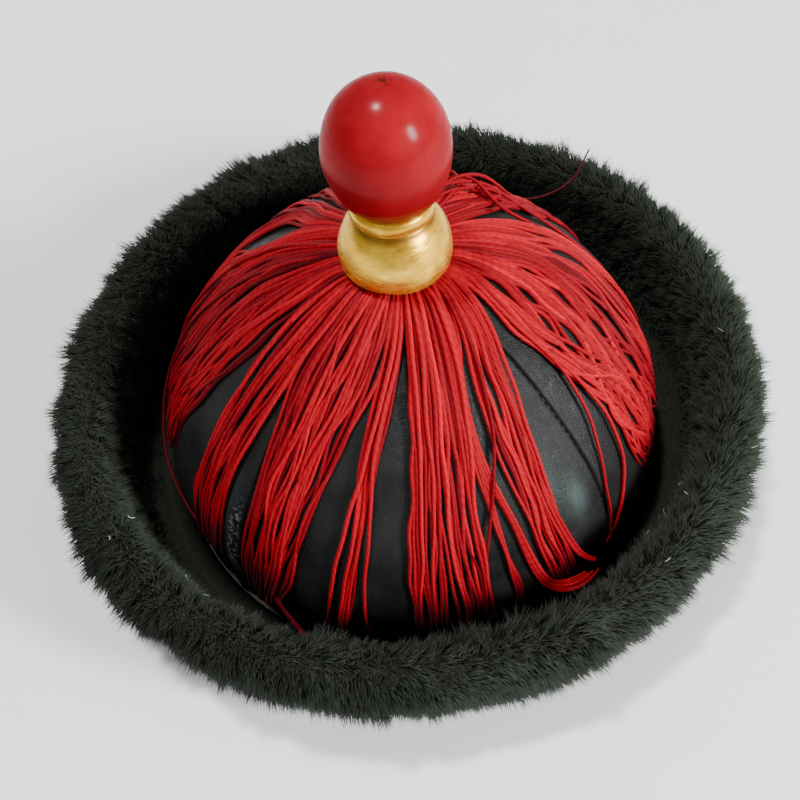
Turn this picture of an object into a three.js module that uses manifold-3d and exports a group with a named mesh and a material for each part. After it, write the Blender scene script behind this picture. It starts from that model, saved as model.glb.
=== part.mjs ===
// A winter court hat: a gored leather crown inside an upturned fur brim, a fringe of red cords, and a turned wooden finial.
// Millimetres, +Z up. The hat stands on its brim at z = 0, and its front faces -Y.
import * as THREE from "three";
import { mergeVertices } from "three/addons/utils/BufferGeometryUtils.js";
import Module from "manifold-3d";

const wasm = await Module();
wasm.setup();

// Clearance between neighbouring pieces
const gap = 0.3;

// Crown: a straight wall up to the spring line, then a dome that comes to a soft point
const crownRadius = 94;
const crownHeight = 115;
const springHeight = 30;
const domePower = 1.72;
const crownWall = 2;
const goreCount = 8;
const seamAzimuth = 45;
const seamDepth = 0.9;
const seamHalfShare = 0.035;
const goreBulge = 0.6;

// Brim: a flat ring under the crown's foot that turns up into a flared wall
const brimThickness = 3;
const brimInnerRadius = 88;
const brimFoldRadius = 100;
const brimRimRadius = 120;
const brimRimHeight = 45.5;
const brimBelly = 0.62; // where the wall's bend lies between fold and rim
const wallStations = [0.14, 0.34, 0.6, 1]; // shares of the wall, fold to rim, that brim and fur share

// Worn form of the rim, as departures from a level circle; azimuths count from the front towards +X
const ovalAmount = 2.3; // longer than round along ovalAzimuth, shorter across it
const ovalAzimuth = -65;
const cornerAmount = 1.4; // pulled in at the front and at two places behind
const rimShiftX = -1.1;
const rimShiftY = 0.7;
const rimTilt = 1.7; // higher on the left than on the right
const saddleAmount = 0.9; // lower at front and back than at the sides
const waveAmount = 1.8;
const waveAzimuth = -22.5;

// Fur: a deep pile that covers the outside of the brim and folds over its rim
const pileDepth = 10;
const footPile = 5;
const lipStart = 0.6; // where the fold-over ends on the inner face, as a share of the wall
const lockDepth = 2.6;
const lockRows = 7;
const lockColumns = 36;

// Fringe: flat locks of cord that radiate from a head disc under the finial
const headRadius = 25;
const headLift = 0.5;
const headThickness = 1.8;
const lockLift = 1.7;
const lockThinRadius = 15; // between these two radii the cords grow from the head's lift and thickness to the locks'
const lockFullRadius = 50;
const lockThickness = 2.4;
const lockShoulder = 0.6; // height of a lock's edges, as a share of its thickness
const lockSpread = 0.24; // how fast a lock widens, in millimetres for each millimetre of radius
const lockRootRadius = 21;

// Finial: gilt base, red ball, and the plain post that holds them to the crown
const postRadius = 2;
const postWasherRadius = 9;
const postWasherThickness = 2;
const postBallDepth = 12;
const baseRadius = 18.8;
const baseFootRadius = 16.6;
const baseRise = 0.6; // the base's foot ring stands this far above the crown's top
const baseWidestHeight = 5.2;
const grooveRadius = 12.1;
const grooveHeight = 21;
const collarRadius = 13.4;
const collarHeight = 28.2;
const ballRadius = 19.6;
const ballHalfHeight = 23.5;
const ballSeatDepth = 4.6; // how far the ball sinks into the collar

const finish = (color, roughness, metalness = 0) =>
  new THREE.MeshStandardMaterial({ color, roughness, metalness, side: THREE.FrontSide });
const leatherFinish = finish(0x1c1c1f, 0.45);
const clothFinish = finish(0x100f0d, 0.9);
const furFinish = finish(0x151c17, 0.95);
const cordFinish = finish(0xb3181d, 0.7);
const giltFinish = finish(0xc09a45, 0.35, 0.6);
const lacquerFinish = finish(0xa81218, 0.25);
const steelFinish = finish(0x8a8a88, 0.4, 1);

const degrees = THREE.MathUtils.degToRad;
const { lerp, smoothstep } = THREE.MathUtils;

// A point at radius r and height z, at an azimuth in radians counted from the front (-Y) towards +X.
function around(r, azimuth, z) {
  return new THREE.Vector3(r * Math.sin(azimuth), -r * Math.cos(azimuth), z);
}

// A closed solid from a grid of points that wraps both round the axis and round its own cross-section.
function ringSolid(columns, rows, pointAt) {
  const positions = [];
  const indices = [];
  for (let c = 0; c < columns; c += 1) {
    for (let r = 0; r < rows; r += 1) positions.push(...pointAt(c, r).toArray());
  }
  for (let c = 0; c < columns; c += 1) {
    for (let r = 0; r < rows; r += 1) {
      const here = c * rows;
      const next = ((c + 1) % columns) * rows;
      const above = (r + 1) % rows;
      const corners = [here + r, next + r, next + above, here + above];
      const [p, q, v, w] = corners.map((i) => new THREE.Vector3().fromArray(positions, 3 * i));
      const order = p.distanceTo(v) <= q.distanceTo(w) + 1e-3 ? [0, 1, 2, 0, 2, 3] : [0, 1, 3, 1, 2, 3];
      indices.push(...order.map((k) => corners[k]));
    }
  }
  const geometry = new THREE.BufferGeometry();
  geometry.setAttribute("position", new THREE.Float32BufferAttribute(positions, 3));
  geometry.setIndex(indices);
  geometry.computeVertexNormals();
  return geometry;
}

// A turned piece from its half profile, given from the bottom up as [radius, height] pairs.
function turned(profile, segments) {
  const geometry = new THREE.LatheGeometry(
    profile.map(([r, z]) => new THREE.Vector2(r, z)),
    segments,
  );
  return geometry.rotateX(Math.PI / 2);
}

function toManifold(geometry) {
  const bare = geometry.clone();
  bare.deleteAttribute("normal");
  bare.deleteAttribute("uv");
  const merged = mergeVertices(bare, 1e-4);
  return new wasm.Manifold(
    new wasm.Mesh({
      numProp: 3,
      vertProperties: merged.attributes.position.array,
      triVerts: new Uint32Array(merged.index.array),
    }),
  );
}

function fromManifold(solid) {
  const mesh = solid.getMesh();
  const geometry = new THREE.BufferGeometry();
  geometry.setAttribute("position", new THREE.Float32BufferAttribute(mesh.vertProperties, 3));
  geometry.setIndex([...mesh.triVerts]);
  geometry.computeVertexNormals();
  return geometry;
}

// The crown's surface, at a distance outside the leather's nominal face: [radius, height] at share s from foot to top.
const wallShare = springHeight / (springHeight + 1.25 * crownRadius);
function crownProfile(s, offset) {
  if (s < wallShare) return [crownRadius + offset, lerp(brimThickness + gap, springHeight, s / wallShare)];
  const angle = ((s - wallShare) / (1 - wallShare)) * (Math.PI / 2);
  return [
    (crownRadius + offset) * Math.max(Math.cos(angle), 0) ** (2 / domePower),
    springHeight + (crownHeight - springHeight + offset) * Math.sin(angle) ** (2 / domePower),
  ];
}

// The share s at which the crown's surface has a given radius
function shareAtRadius(radius, offset) {
  const angle = Math.acos((radius / (crownRadius + offset)) ** (domePower / 2));
  return lerp(wallShare, 1, angle / (Math.PI / 2));
}

// The height of the crown's surface at a given radius
function crownHeightAt(radius, offset) {
  return crownProfile(shareAtRadius(radius, offset), offset)[1];
}

// The share s at which the crown's surface has a given height
function shareAtHeight(height) {
  if (height < springHeight) return (wallShare * (height - brimThickness)) / (springHeight - brimThickness);
  const angle = Math.asin(((height - springHeight) / (crownHeight - springHeight)) ** (domePower / 2));
  return lerp(wallShare, 1, angle / (Math.PI / 2));
}

// Gored leather crown with a narrow sunk seam between the panels
function crown() {
  const shares = [0, seamHalfShare, 0.26, 0.5, 0.74, 1 - seamHalfShare];
  const outerRows = 10;
  const innerRows = 6;
  const hole = postRadius + gap;
  const pointAt = (column, row) => {
    const gore = Math.floor(column / shares.length);
    const share = shares[column % shares.length];
    const azimuth = degrees(seamAzimuth + ((gore + share) * 360) / goreCount);
    const outside = row < outerRows;
    const relief = share === 0 ? -seamDepth : goreBulge * Math.sin(Math.PI * share);
    const offset = outside ? 0 : -crownWall;
    const top = shareAtRadius(hole, offset);
    const s = outside
      ? lerp(0, top, row / (outerRows - 1))
      : lerp(top, 0, (row - outerRows) / (innerRows - 1));
    const [r, z] = crownProfile(s, offset);
    const bulge = outside ? relief * smoothstep(r, lockThinRadius, crownRadius * 0.6) : 0;
    return around(r + bulge, azimuth, z);
  };
  return ringSolid(goreCount * shares.length, outerRows + innerRows, pointAt);
}

// The middle line of the brim's wall, from the fold at the floor to the rim
const brimLine = new THREE.QuadraticBezierCurve(
  new THREE.Vector2(brimFoldRadius, brimThickness / 2),
  new THREE.Vector2(lerp(brimFoldRadius, brimRimRadius, brimBelly), brimThickness),
  new THREE.Vector2(brimRimRadius, brimRimHeight),
);

// A point beside the brim's line: t along it, and a distance out from it
function besideBrim(t, distance) {
  const tangent = brimLine.getTangent(t);
  const outward = new THREE.Vector2(tangent.y, -tangent.x);
  return brimLine.getPoint(t).addScaledVector(outward, distance);
}

// Brings the round brim to its worn form: an uneven rim over a flat round foot.
function wornBrim(r, azimuth, z) {
  const rise = smoothstep(z, 0, brimRimHeight);
  const oval = ovalAmount * Math.cos(2 * (azimuth - degrees(ovalAzimuth)));
  const corners = -cornerAmount * Math.cos(3 * azimuth);
  const tilt = -rimTilt * Math.sin(azimuth) - saddleAmount * Math.cos(2 * azimuth);
  const wave = waveAmount * Math.cos(3 * (azimuth - degrees(waveAzimuth)));
  const point = around(r + (oval + corners) * rise, azimuth, z + (tilt + wave) * rise);
  return point.add(new THREE.Vector3(rimShiftX * rise, rimShiftY * rise, 0));
}

// Cloth-covered brim: the flat ring and the flared wall in one piece
function brim() {
  const columns = lockColumns * 2;
  const half = brimThickness / 2;
  const wall = [0, ...wallStations];
  const loop = [
    new THREE.Vector2(brimInnerRadius, 0),
    ...wall.map((t) => besideBrim(t, half)),
    ...wall.toReversed().map((t) => besideBrim(t, -half)),
    new THREE.Vector2(brimInnerRadius, brimThickness),
  ];
  loop.forEach((p) => p.setY(Math.max(p.y, 0)));
  return ringSolid(columns, loop.length, (column, row) => {
    const azimuth = (column / columns) * 2 * Math.PI;
    return wornBrim(loop[row].x, azimuth, loop[row].y);
  });
}

// A point of the fur's cross-section: q runs from the lip inside, over the rim, down to the foot outside.
const innerShare = 0.24;
const overShare = 0.5;
function furSection(q, distance) {
  if (q < innerShare) return besideBrim(lerp(lipStart, 1, q / innerShare), -distance);
  if (q > overShare) {
    return besideBrim(lerp(1, wallStations[0], (q - overShare) / (1 - overShare)), distance);
  }
  const turn = ((q - innerShare) / (overShare - innerShare)) * Math.PI;
  const tangent = brimLine.getTangent(1);
  const inward = new THREE.Vector2(-tangent.y, tangent.x);
  return brimLine
    .getPoint(1)
    .addScaledVector(inward, distance * Math.cos(turn))
    .addScaledVector(tangent, distance * Math.sin(turn));
}

// Fur band: a backing on the brim with rows of pointed locks that fall like scales from lip to foot
function furBand() {
  const columns = lockColumns * 2;
  const contact = brimThickness / 2 + gap;
  const outerRows = lockRows * 2 + 1;
  const backing = [
    ...wallStations.filter((t) => t >= lipStart).map((t) => besideBrim(t, -contact)),
    furSection(lerp(innerShare, overShare, 1 / 3), contact),
    furSection(lerp(innerShare, overShare, 2 / 3), contact),
    ...wallStations.toReversed().map((t) => besideBrim(t, contact)),
  ];
  return ringSolid(columns, outerRows + backing.length, (column, row) => {
    const azimuth = (column / columns) * 2 * Math.PI;
    if (row >= outerRows) {
      const back = backing[row - outerRows];
      return wornBrim(back.x, azimuth, back.y);
    }
    const q = 1 - row / (outerRows - 1);
    const scaleRow = Math.floor(row / 2);
    const isTip = row % 2 === 0;
    const raised = (column + scaleRow) % 2 === 0;
    const ends = Math.sqrt(Math.min(1, Math.min(q * 8, (1 - q) * 3.5) + 0.06));
    const fullness = smoothstep(q, 0, innerShare) * smoothstep(1 - q, 0, overShare);
    const uneven = 0.6 + 0.4 * Math.sin(column * 2.3 + scaleRow * 4.1);
    const relief = (isTip && raised ? lockDepth : -lockDepth) * 0.5 * uneven;
    const pile = Math.max((lerp(footPile, pileDepth, fullness) + relief) * ends, 0.8);
    const point = furSection(q, contact + pile);
    return wornBrim(point.x, azimuth, Math.max(point.y, 0.4));
  });
}

// Where the fringe's locks lie: azimuths in degrees at the head, at the waist where they have gathered, and at the hem,
// with the width and the height of the hem in millimetres
const fringeLocks = [
  { head: -60, waist: -58, hem: -56.5, width: 13, height: 26 },
  { head: -41, waist: -39.5, hem: -40, width: 11, height: 22 },
  { head: -25, waist: -28, hem: -33, width: 11, height: 22 },
  { head: -4, waist: -13, hem: -18, width: 6, height: 23 },
  { head: 12, waist: 2, hem: 0, width: 10, height: 23 },
  { head: 26, waist: 12, hem: 9.5, width: 12, height: 23 },
  { head: 38, waist: 20, hem: 24, width: 5, height: 23 },
  { head: 50, waist: 29, hem: 33, width: 9, height: 23 },
  { head: 64, waist: 58, hem: 59, width: 12, height: 34 },
  { head: 76, waist: 68, hem: 70, width: 14, height: 34 },
  { head: 88, waist: 80, hem: 81, width: 14, height: 36 },
  { head: 100, waist: 92, hem: 92, width: 14, height: 36 },
  { head: 112, waist: 104, hem: 103, width: 13, height: 44 },
  { head: 124, waist: 117, hem: 116, width: 10, height: 46 },
  { head: 137, waist: 131, hem: 129, width: 12, height: 36 },
  { head: 150, waist: 146, hem: 144, width: 13, height: 34 },
  { head: 163, waist: 161, hem: 159, width: 14, height: 34 },
  { head: 176, waist: 176, hem: 176, width: 14, height: 32 },
  { head: -171, waist: -169, hem: -168, width: 14, height: 36 },
  { head: -157, waist: -154, hem: -152, width: 13, height: 38 },
  { head: -143, waist: -140, hem: -139, width: 11, height: 40 },
  { head: -130, waist: -126, hem: -125, width: 10, height: 42 },
  { head: -117, waist: -112, hem: -110, width: 13, height: 40 },
  { head: -103, waist: -99, hem: -98, width: 14, height: 42 },
  { head: -89, waist: -86, hem: -86, width: 14, height: 40 },
  { head: -75, waist: -77, hem: -79, width: 7, height: 36 },
];

// How far the cords lie off the crown at a radius, and how thick they lie there
function cordLayer(radius) {
  const fullness = smoothstep(radius, lockThinRadius, lockFullRadius);
  const low = lerp(headLift, lockLift, fullness);
  return { low, high: low + lerp(headThickness, lockThickness, fullness) };
}

// One flat lock of cords laid on the crown, rounded on top
function fringeLock({ head, waist, hem, width, height }) {
  const steps = 7;
  const top = shareAtRadius(lockRootRadius, 0);
  const bottom = shareAtHeight(height);
  const edge = 0.5;
  const across = [
    { side: -edge, rise: 0 },
    { side: edge, rise: 0 },
    { side: edge, rise: lockShoulder },
    { side: 0, rise: 1 },
    { side: -edge, rise: lockShoulder },
  ];
  const positions = [];
  for (let i = 0; i <= steps; i += 1) {
    const along = i / steps;
    const s = lerp(top, bottom, along);
    const [radius] = crownProfile(s, 0);
    const gathered = lerp(head, waist, smoothstep(radius, lockRootRadius, lockFullRadius));
    const middle = degrees(lerp(gathered, hem, smoothstep(along, 0.45, 1)));
    const taper = lerp(1, 0.6, smoothstep(along, 0.85, 1));
    const breadth = Math.min(width, lockSpread * radius) * taper;
    const { low, high } = cordLayer(radius);
    across.forEach(({ side, rise }) => {
      const [r, z] = crownProfile(s, lerp(low, high, rise * taper));
      positions.push(...around(r, middle + (side * breadth) / radius, z).toArray());
    });
  }
  const count = across.length;
  const indices = [];
  for (let i = 0; i < steps; i += 1) {
    for (let k = 0; k < count; k += 1) {
      const a = i * count + k;
      const b = i * count + ((k + 1) % count);
      indices.push(a, b, b + count, a, b + count, a + count);
    }
  }
  const last = steps * count;
  for (let k = 1; k < count - 1; k += 1) {
    indices.push(0, k + 1, k, last, last + k, last + k + 1);
  }
  const geometry = new THREE.BufferGeometry();
  geometry.setAttribute("position", new THREE.Float32BufferAttribute(positions, 3));
  geometry.setIndex(indices);
  return geometry;
}

// Fringe: the locks fused to a domed head disc with a hole for the post
function fringe() {
  const columns = 20;
  const hole = postRadius + gap;
  const radii = [hole, 8, 16, headRadius];
  const loop = [
    ...radii.map((r) => [r, crownHeightAt(r, cordLayer(r).low)]),
    ...radii.toReversed().map((r) => [r, crownHeightAt(r, cordLayer(r).high)]),
  ];
  const disc = ringSolid(columns, loop.length, (column, row) => {
    const [r, z] = loop[row];
    return around(r, (column / columns) * 2 * Math.PI, z);
  });
  let solid = toManifold(disc);
  fringeLocks.forEach((lock) => {
    solid = solid.add(toManifold(fringeLock(lock)));
  });
  return fromManifold(solid);
}

// Heights of the finial's parts above the floor
const baseFloor = crownHeight + baseRise;
const collarTop = baseFloor + collarHeight;
const ballCentre = collarTop - ballSeatDepth + ballHalfHeight;

// Radius of the ball at a height above the floor, with a clearance
function ballRadiusAt(height, clearance) {
  const rise = (height - ballCentre) / (ballHalfHeight + clearance);
  return (ballRadius + clearance) * Math.sqrt(Math.max(0, 1 - rise * rise));
}

// Gilt base: a bun with a waisted collar, hollowed below for the fringe's head and above for the ball
function finialBase() {
  const hole = postRadius + gap;
  const hollow = (r) => crownHeightAt(r, cordLayer(r).high + gap + 0.1);
  const bun = new THREE.SplineCurve([
    new THREE.Vector2(baseFootRadius + 1, 0.5),
    new THREE.Vector2(baseRadius, baseWidestHeight),
    new THREE.Vector2(baseRadius * 0.95, 11),
    new THREE.Vector2(baseRadius * 0.83, 15.8),
    new THREE.Vector2(grooveRadius + 1.6, 18.8),
    new THREE.Vector2(grooveRadius, grooveHeight - 0.6),
  ]);
  const collar = new THREE.SplineCurve([
    new THREE.Vector2(grooveRadius, grooveHeight + 0.3),
    new THREE.Vector2(collarRadius, grooveHeight + 2.2),
    new THREE.Vector2(collarRadius, collarHeight - 2),
    new THREE.Vector2(collarRadius - 1, collarHeight - 0.3),
  ]);
  const seatLow = ballCentre - ballHalfHeight + 1;
  const profile = [
    [hole, hollow(hole)],
    [7, hollow(7)],
    [12, hollow(12)],
    [baseFootRadius, baseFloor],
    ...bun.getPoints(7).map((p) => [p.x, baseFloor + p.y]),
    ...collar.getPoints(5).map((p) => [p.x, baseFloor + p.y]),
    [ballRadiusAt(collarTop, gap + 0.2), collarTop],
    [ballRadiusAt(collarTop - 2, gap + 0.2), collarTop - 2],
    [ballRadiusAt(seatLow, gap + 0.2), seatLow],
    [hole, seatLow - 1.2],
    [hole, hollow(hole)],
  ];
  return turned(profile, 22);
}

// Red ball: an upright egg with a blind hole for the post
function finialBall() {
  const steps = 14;
  const hole = postRadius + gap;
  const holeTop = ballCentre - ballHalfHeight + postBallDepth + gap;
  const start = Math.asin(hole / ballRadius);
  const profile = [
    [0, holeTop],
    [hole, holeTop],
  ];
  for (let i = 0; i <= steps; i += 1) {
    const angle = lerp(start, Math.PI, i / steps);
    profile.push([ballRadius * Math.max(Math.sin(angle), 0), ballCentre - ballHalfHeight * Math.cos(angle)]);
  }
  profile[profile.length - 1][0] = 0;
  return turned(profile, 22);
}

// Post: one plain pin from a washer inside the crown up into the ball
function finialPost() {
  const washerTop = crownHeight - crownWall - gap - 1.2;
  return turned(
    [
      [0, washerTop - postWasherThickness],
      [postWasherRadius, washerTop - postWasherThickness - 0.8],
      [postWasherRadius, washerTop - 0.8],
      [postRadius, washerTop],
      [postRadius, ballCentre - ballHalfHeight + postBallDepth],
      [0, ballCentre - ballHalfHeight + postBallDepth],
    ],
    14,
  );
}

const hat = new THREE.Group();
function addPiece(name, geometry, material) {
  const mesh = new THREE.Mesh(geometry, material);
  mesh.name = name;
  hat.add(mesh);
}
addPiece("crown", crown(), leatherFinish);
addPiece("brim", brim(), clothFinish);
addPiece("fur_band", furBand(), furFinish);
addPiece("fringe", fringe(), cordFinish);
addPiece("finial_base", finialBase(), giltFinish);
addPiece("finial_ball", finialBall(), lacquerFinish);
addPiece("finial_post", finialPost(), steelFinish);

// The origin lies under the middle of the worn outline, a little off the crown's axis.
const outline = new THREE.Box3().setFromObject(hat);
const middle = outline.getCenter(new THREE.Vector3());
hat.position.set(-middle.x, -middle.y, 0);

export default hat;
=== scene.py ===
import math
import bpy
import numpy as np
from mathutils import Matrix, Vector


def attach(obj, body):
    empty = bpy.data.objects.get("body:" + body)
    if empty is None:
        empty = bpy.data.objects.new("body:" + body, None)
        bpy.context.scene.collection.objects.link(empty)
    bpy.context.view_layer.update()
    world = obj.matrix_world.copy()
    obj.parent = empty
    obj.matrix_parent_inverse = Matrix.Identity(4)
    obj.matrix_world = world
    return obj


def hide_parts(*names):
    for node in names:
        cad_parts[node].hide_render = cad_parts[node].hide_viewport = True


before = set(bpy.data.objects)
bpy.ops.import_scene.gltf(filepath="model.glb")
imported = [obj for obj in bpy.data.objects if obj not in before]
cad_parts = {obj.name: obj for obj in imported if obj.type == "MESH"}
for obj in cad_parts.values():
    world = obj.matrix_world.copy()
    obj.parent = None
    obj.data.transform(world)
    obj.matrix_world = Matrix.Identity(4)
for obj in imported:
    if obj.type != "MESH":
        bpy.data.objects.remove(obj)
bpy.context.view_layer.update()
print("frame loaded")

# Sizes that the whole hat shares, in metres. Azimuths count from the front (-Y) towards +X, in degrees.
hat = {
    "axis": (0.00127, -0.00216),
    "crownRadius": 0.094,
    "crownHeight": 0.115,
    "springHeight": 0.030,
    "domePower": 1.72,
    "footHeight": 0.0033,
    "foldRadius": 0.100,
    "rimRadius": 0.120,
    "rimHeight": 0.0455,
    "brimBelly": 0.62,
    "brimThickness": 0.003,
    "ringRadius": 0.088,
}

# How the worn rim departs from a level circle
wornRim = {
    "oval": 0.0023, "ovalAzimuth": -65,
    "corners": 0.0014,
    "shift": (-0.0011, 0.0007),
    "tilt": 0.0017, "saddle": 0.0009,
    "wave": 0.0018, "waveAzimuth": -22.5,
}


# Small helpers

def smoothStep(x, low, high):
    t = np.clip((np.asarray(x, float) - low) / (high - low), 0, 1)
    return t * t * (3 - 2 * t)


def around(radius, azimuth, height):
    x = hat["axis"][0] + radius * np.sin(azimuth)
    y = hat["axis"][1] - radius * np.cos(azimuth)
    return np.stack(np.broadcast_arrays(x, y, height), -1)


def meshFromGrid(name, grid, wrapRows=False, closeEnds=False):
    # grid is columns x rows x 3, and the columns always close round the axis
    columns, rows = grid.shape[:2]
    index = np.arange(columns * rows).reshape(columns, rows)
    nextColumn = np.roll(index, -1, axis=0)
    if wrapRows:
        a, b = index, nextColumn
        c, d = np.roll(nextColumn, -1, axis=1), np.roll(index, -1, axis=1)
    else:
        a, b = index[:, :-1], nextColumn[:, :-1]
        c, d = nextColumn[:, 1:], index[:, 1:]
    faces = np.stack([a, b, c, d], -1).reshape(-1, 4).tolist()
    points = grid.reshape(-1, 3).tolist()
    if closeEnds:
        for row, turn in ((0, -1), (rows - 1, 1)):
            points.append(grid[:, row].mean(0).tolist())
            ring = index[:, row].tolist()
            for k in range(columns):
                pair = (ring[k], ring[(k + 1) % columns])
                faces.append([*(pair if turn > 0 else pair[::-1]), len(points) - 1])
    mesh = bpy.data.meshes.new(name)
    mesh.from_pydata(points, [], faces)
    mesh.shade_smooth()
    return mesh


def addPiece(name, mesh):
    piece = bpy.data.objects.new(name, mesh)
    bpy.context.collection.objects.link(piece)
    return piece


def storeOnPoints(mesh, name, values):
    layer = mesh.attributes.new(name, "FLOAT", "POINT")
    layer.data.foreach_set("value", np.asarray(values, np.float32).ravel())


def softened(values, times):
    for _ in range(times):
        values = values.copy()
        values[1:-1] = 0.25 * values[:-2] + 0.5 * values[1:-1] + 0.25 * values[2:]
    return values


def stepLengths(points):
    return np.linalg.norm(np.diff(points, axis=0), axis=1)


def evenly(lengths, count, times, *columns):
    # Values along a line, read at equal steps of its length and then softened
    reach = np.append(0, np.cumsum(lengths))
    t = np.linspace(0, reach[-1], count)
    return [softened(np.interp(t, reach, values), times) for values in columns]


def allRound(columns):
    return np.linspace(0, 2 * math.pi, columns, endpoint=False)[:, None]


def fromFront(azimuth):
    return np.degrees((azimuth + math.pi) % (2 * math.pi) - math.pi)


# Node tree helpers

def feed(tree, node, inputs):
    # Each input gets a plain value, or a link from another node's output
    for key, value in inputs.items():
        if isinstance(value, bpy.types.NodeSocket):
            tree.links.new(value, node.inputs[key])
        else:
            node.inputs[key].default_value = value


def addNode(tree, kind, inputs=None, **settings):
    node = tree.nodes.new(kind)
    column, row = divmod(len(tree.nodes), 6)
    node.location = (220 * column - 1400, 600 - 240 * row)
    for key, value in settings.items():
        setattr(node, key, value)
    feed(tree, node, inputs or {})
    return node


def calc(tree, how, *values, clamp=False):
    return addNode(tree, "ShaderNodeMath", dict(enumerate(values)), operation=how, use_clamp=clamp).outputs[0]


def vector(tree, how, first, second=None):
    inputs = {0: first}
    if second is not None:
        inputs["Scale" if how == "SCALE" else 1] = second
    return addNode(tree, "ShaderNodeVectorMath", inputs, operation=how).outputs[0]


def combine(tree, x, y, z):
    return addNode(tree, "ShaderNodeCombineXYZ", {0: x, 1: y, 2: z}).outputs[0]


def separate(tree, value):
    return addNode(tree, "ShaderNodeSeparateXYZ", {0: value}).outputs


def mapTo(tree, value, low, high, fromLow=0.0, fromHigh=1.0, smooth=False):
    inputs = {"Value": value, "From Min": fromLow, "From Max": fromHigh, "To Min": low, "To Max": high}
    kind = "SMOOTHSTEP" if smooth else "LINEAR"
    return addNode(tree, "ShaderNodeMapRange", inputs, interpolation_type=kind).outputs[0]


def addNoise(tree, where, scale, detail, roughness=0.5):
    inputs = {"Vector": where, "Scale": scale, "Detail": detail, "Roughness": roughness}
    return addNode(tree, "ShaderNodeTexNoise", inputs).outputs


def newMaterial(name, values):
    material = bpy.data.materials.new(name)
    material.use_nodes = True
    tree = material.node_tree
    shader = tree.nodes["Principled BSDF"]
    feed(tree, shader, values)
    material.diffuse_color = values.get("Base Color", (0.5, 0.5, 0.5, 1))
    return material, tree, shader


def newShaderGroup(name, inputs, output):
    group = bpy.data.node_groups.new(name, "ShaderNodeTree")
    for label, value in inputs.items():
        group.interface.new_socket(label, in_out="INPUT", socket_type="NodeSocketFloat").default_value = value
    group.interface.new_socket(output, in_out="OUTPUT", socket_type="NodeSocketFloat")
    return group, addNode(group, "NodeGroupInput").outputs, addNode(group, "NodeGroupOutput")


def newGeometryTree(name, inputs):
    tree = bpy.data.node_groups.new(name, "GeometryNodeTree")
    tree.interface.new_socket("Geometry", in_out="INPUT", socket_type="NodeSocketGeometry")
    for label, value in inputs.items():
        kind = "NodeSocketInt" if isinstance(value, int) else "NodeSocketFloat"
        tree.interface.new_socket(label, in_out="INPUT", socket_type=kind).default_value = value
    tree.interface.new_socket("Finish", in_out="INPUT", socket_type="NodeSocketMaterial")
    tree.interface.new_socket("Geometry", in_out="OUTPUT", socket_type="NodeSocketGeometry")
    return tree, addNode(tree, "NodeGroupInput").outputs, addNode(tree, "NodeGroupOutput")


def readValue(tree, name):
    return addNode(tree, "GeometryNodeInputNamedAttribute", {"Name": name}, data_type="FLOAT").outputs[0]


def storeValue(tree, geometry, name, value, kind="FLOAT", domain="POINT"):
    inputs = {"Geometry": geometry, "Name": name, "Value": value}
    return addNode(tree, "GeometryNodeStoreNamedAttribute", inputs, data_type=kind, domain=domain).outputs[0]


def realize(tree, geometry):
    return addNode(tree, "GeometryNodeRealizeInstances", {0: geometry}).outputs[0]


def closeTree(tree, start, end, geometry):
    smooth = addNode(tree, "GeometryNodeSetShadeSmooth", {0: geometry}).outputs[0]
    inputs = {"Geometry": smooth, "Material": start["Finish"]}
    feed(tree, end, {"Geometry": addNode(tree, "GeometryNodeSetMaterial", inputs).outputs[0]})


def growPiece(name, base, tree, values):
    # Runs a node tree on a throwaway base object and keeps the result as a plain mesh
    modifier = base.modifiers.new("grow", "NODES")
    modifier.node_group = tree
    for socket in tree.interface.items_tree:
        if socket.item_type == "SOCKET" and socket.in_out == "INPUT" and socket.name in values:
            modifier[socket.identifier] = values[socket.name]
    bpy.context.view_layer.update()
    graph = bpy.context.evaluated_depsgraph_get()
    mesh = bpy.data.meshes.new_from_object(base.evaluated_get(graph), preserve_all_data_layers=True, depsgraph=graph)
    base.modifiers.remove(modifier)
    ground = base.data
    bpy.data.objects.remove(base)
    bpy.data.meshes.remove(ground)
    mesh.name = name
    print(name, sum(len(p.vertices) - 2 for p in mesh.polygons), "triangles")
    return addPiece(name, mesh)


# Camera, at the angle and roll of the photograph

view = {
    "elevation": 54.6, "distance": 0.397, "roll": -6.5, "pixels": 1065,
    "pivotHeight": 0.060, "aim": (-0.0043, 0.0283),
}


def placeCamera():
    e = math.radians(view["elevation"])
    axis = Vector((*hat["axis"], 0))
    spot = axis + Vector((0, 0, view["pivotHeight"])) + Vector((0, -math.cos(e), math.sin(e))) * view["distance"]
    aim = axis + Vector((view["aim"][0], 0, view["aim"][1]))
    forward = (aim - spot).normalized()
    right = forward.cross(Vector((0, 0, 1))).normalized()
    up = right.cross(forward)
    roll = math.radians(view["roll"])
    across = math.cos(roll) * right + math.sin(roll) * up
    upward = math.cos(roll) * up - math.sin(roll) * right
    data = bpy.data.cameras.new("camera")
    data.sensor_width = 36
    data.lens = 36 * view["pixels"] / 800
    data.clip_start = 0.01
    camera = bpy.data.objects.new("camera", data)
    bpy.context.collection.objects.link(camera)
    turn = Matrix((across, upward, -forward)).transposed().to_4x4()
    camera.matrix_world = Matrix.Translation(spot) @ turn
    bpy.context.scene.camera = camera


placeCamera()
print("camera placed")


# Surface effects that several finishes share

def objectPlace(tree):
    return addNode(tree, "ShaderNodeTexCoord").outputs["Object"]


def readMask(tree, name):
    return addNode(tree, "ShaderNodeAttribute", attribute_name=name).outputs["Fac"]


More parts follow.
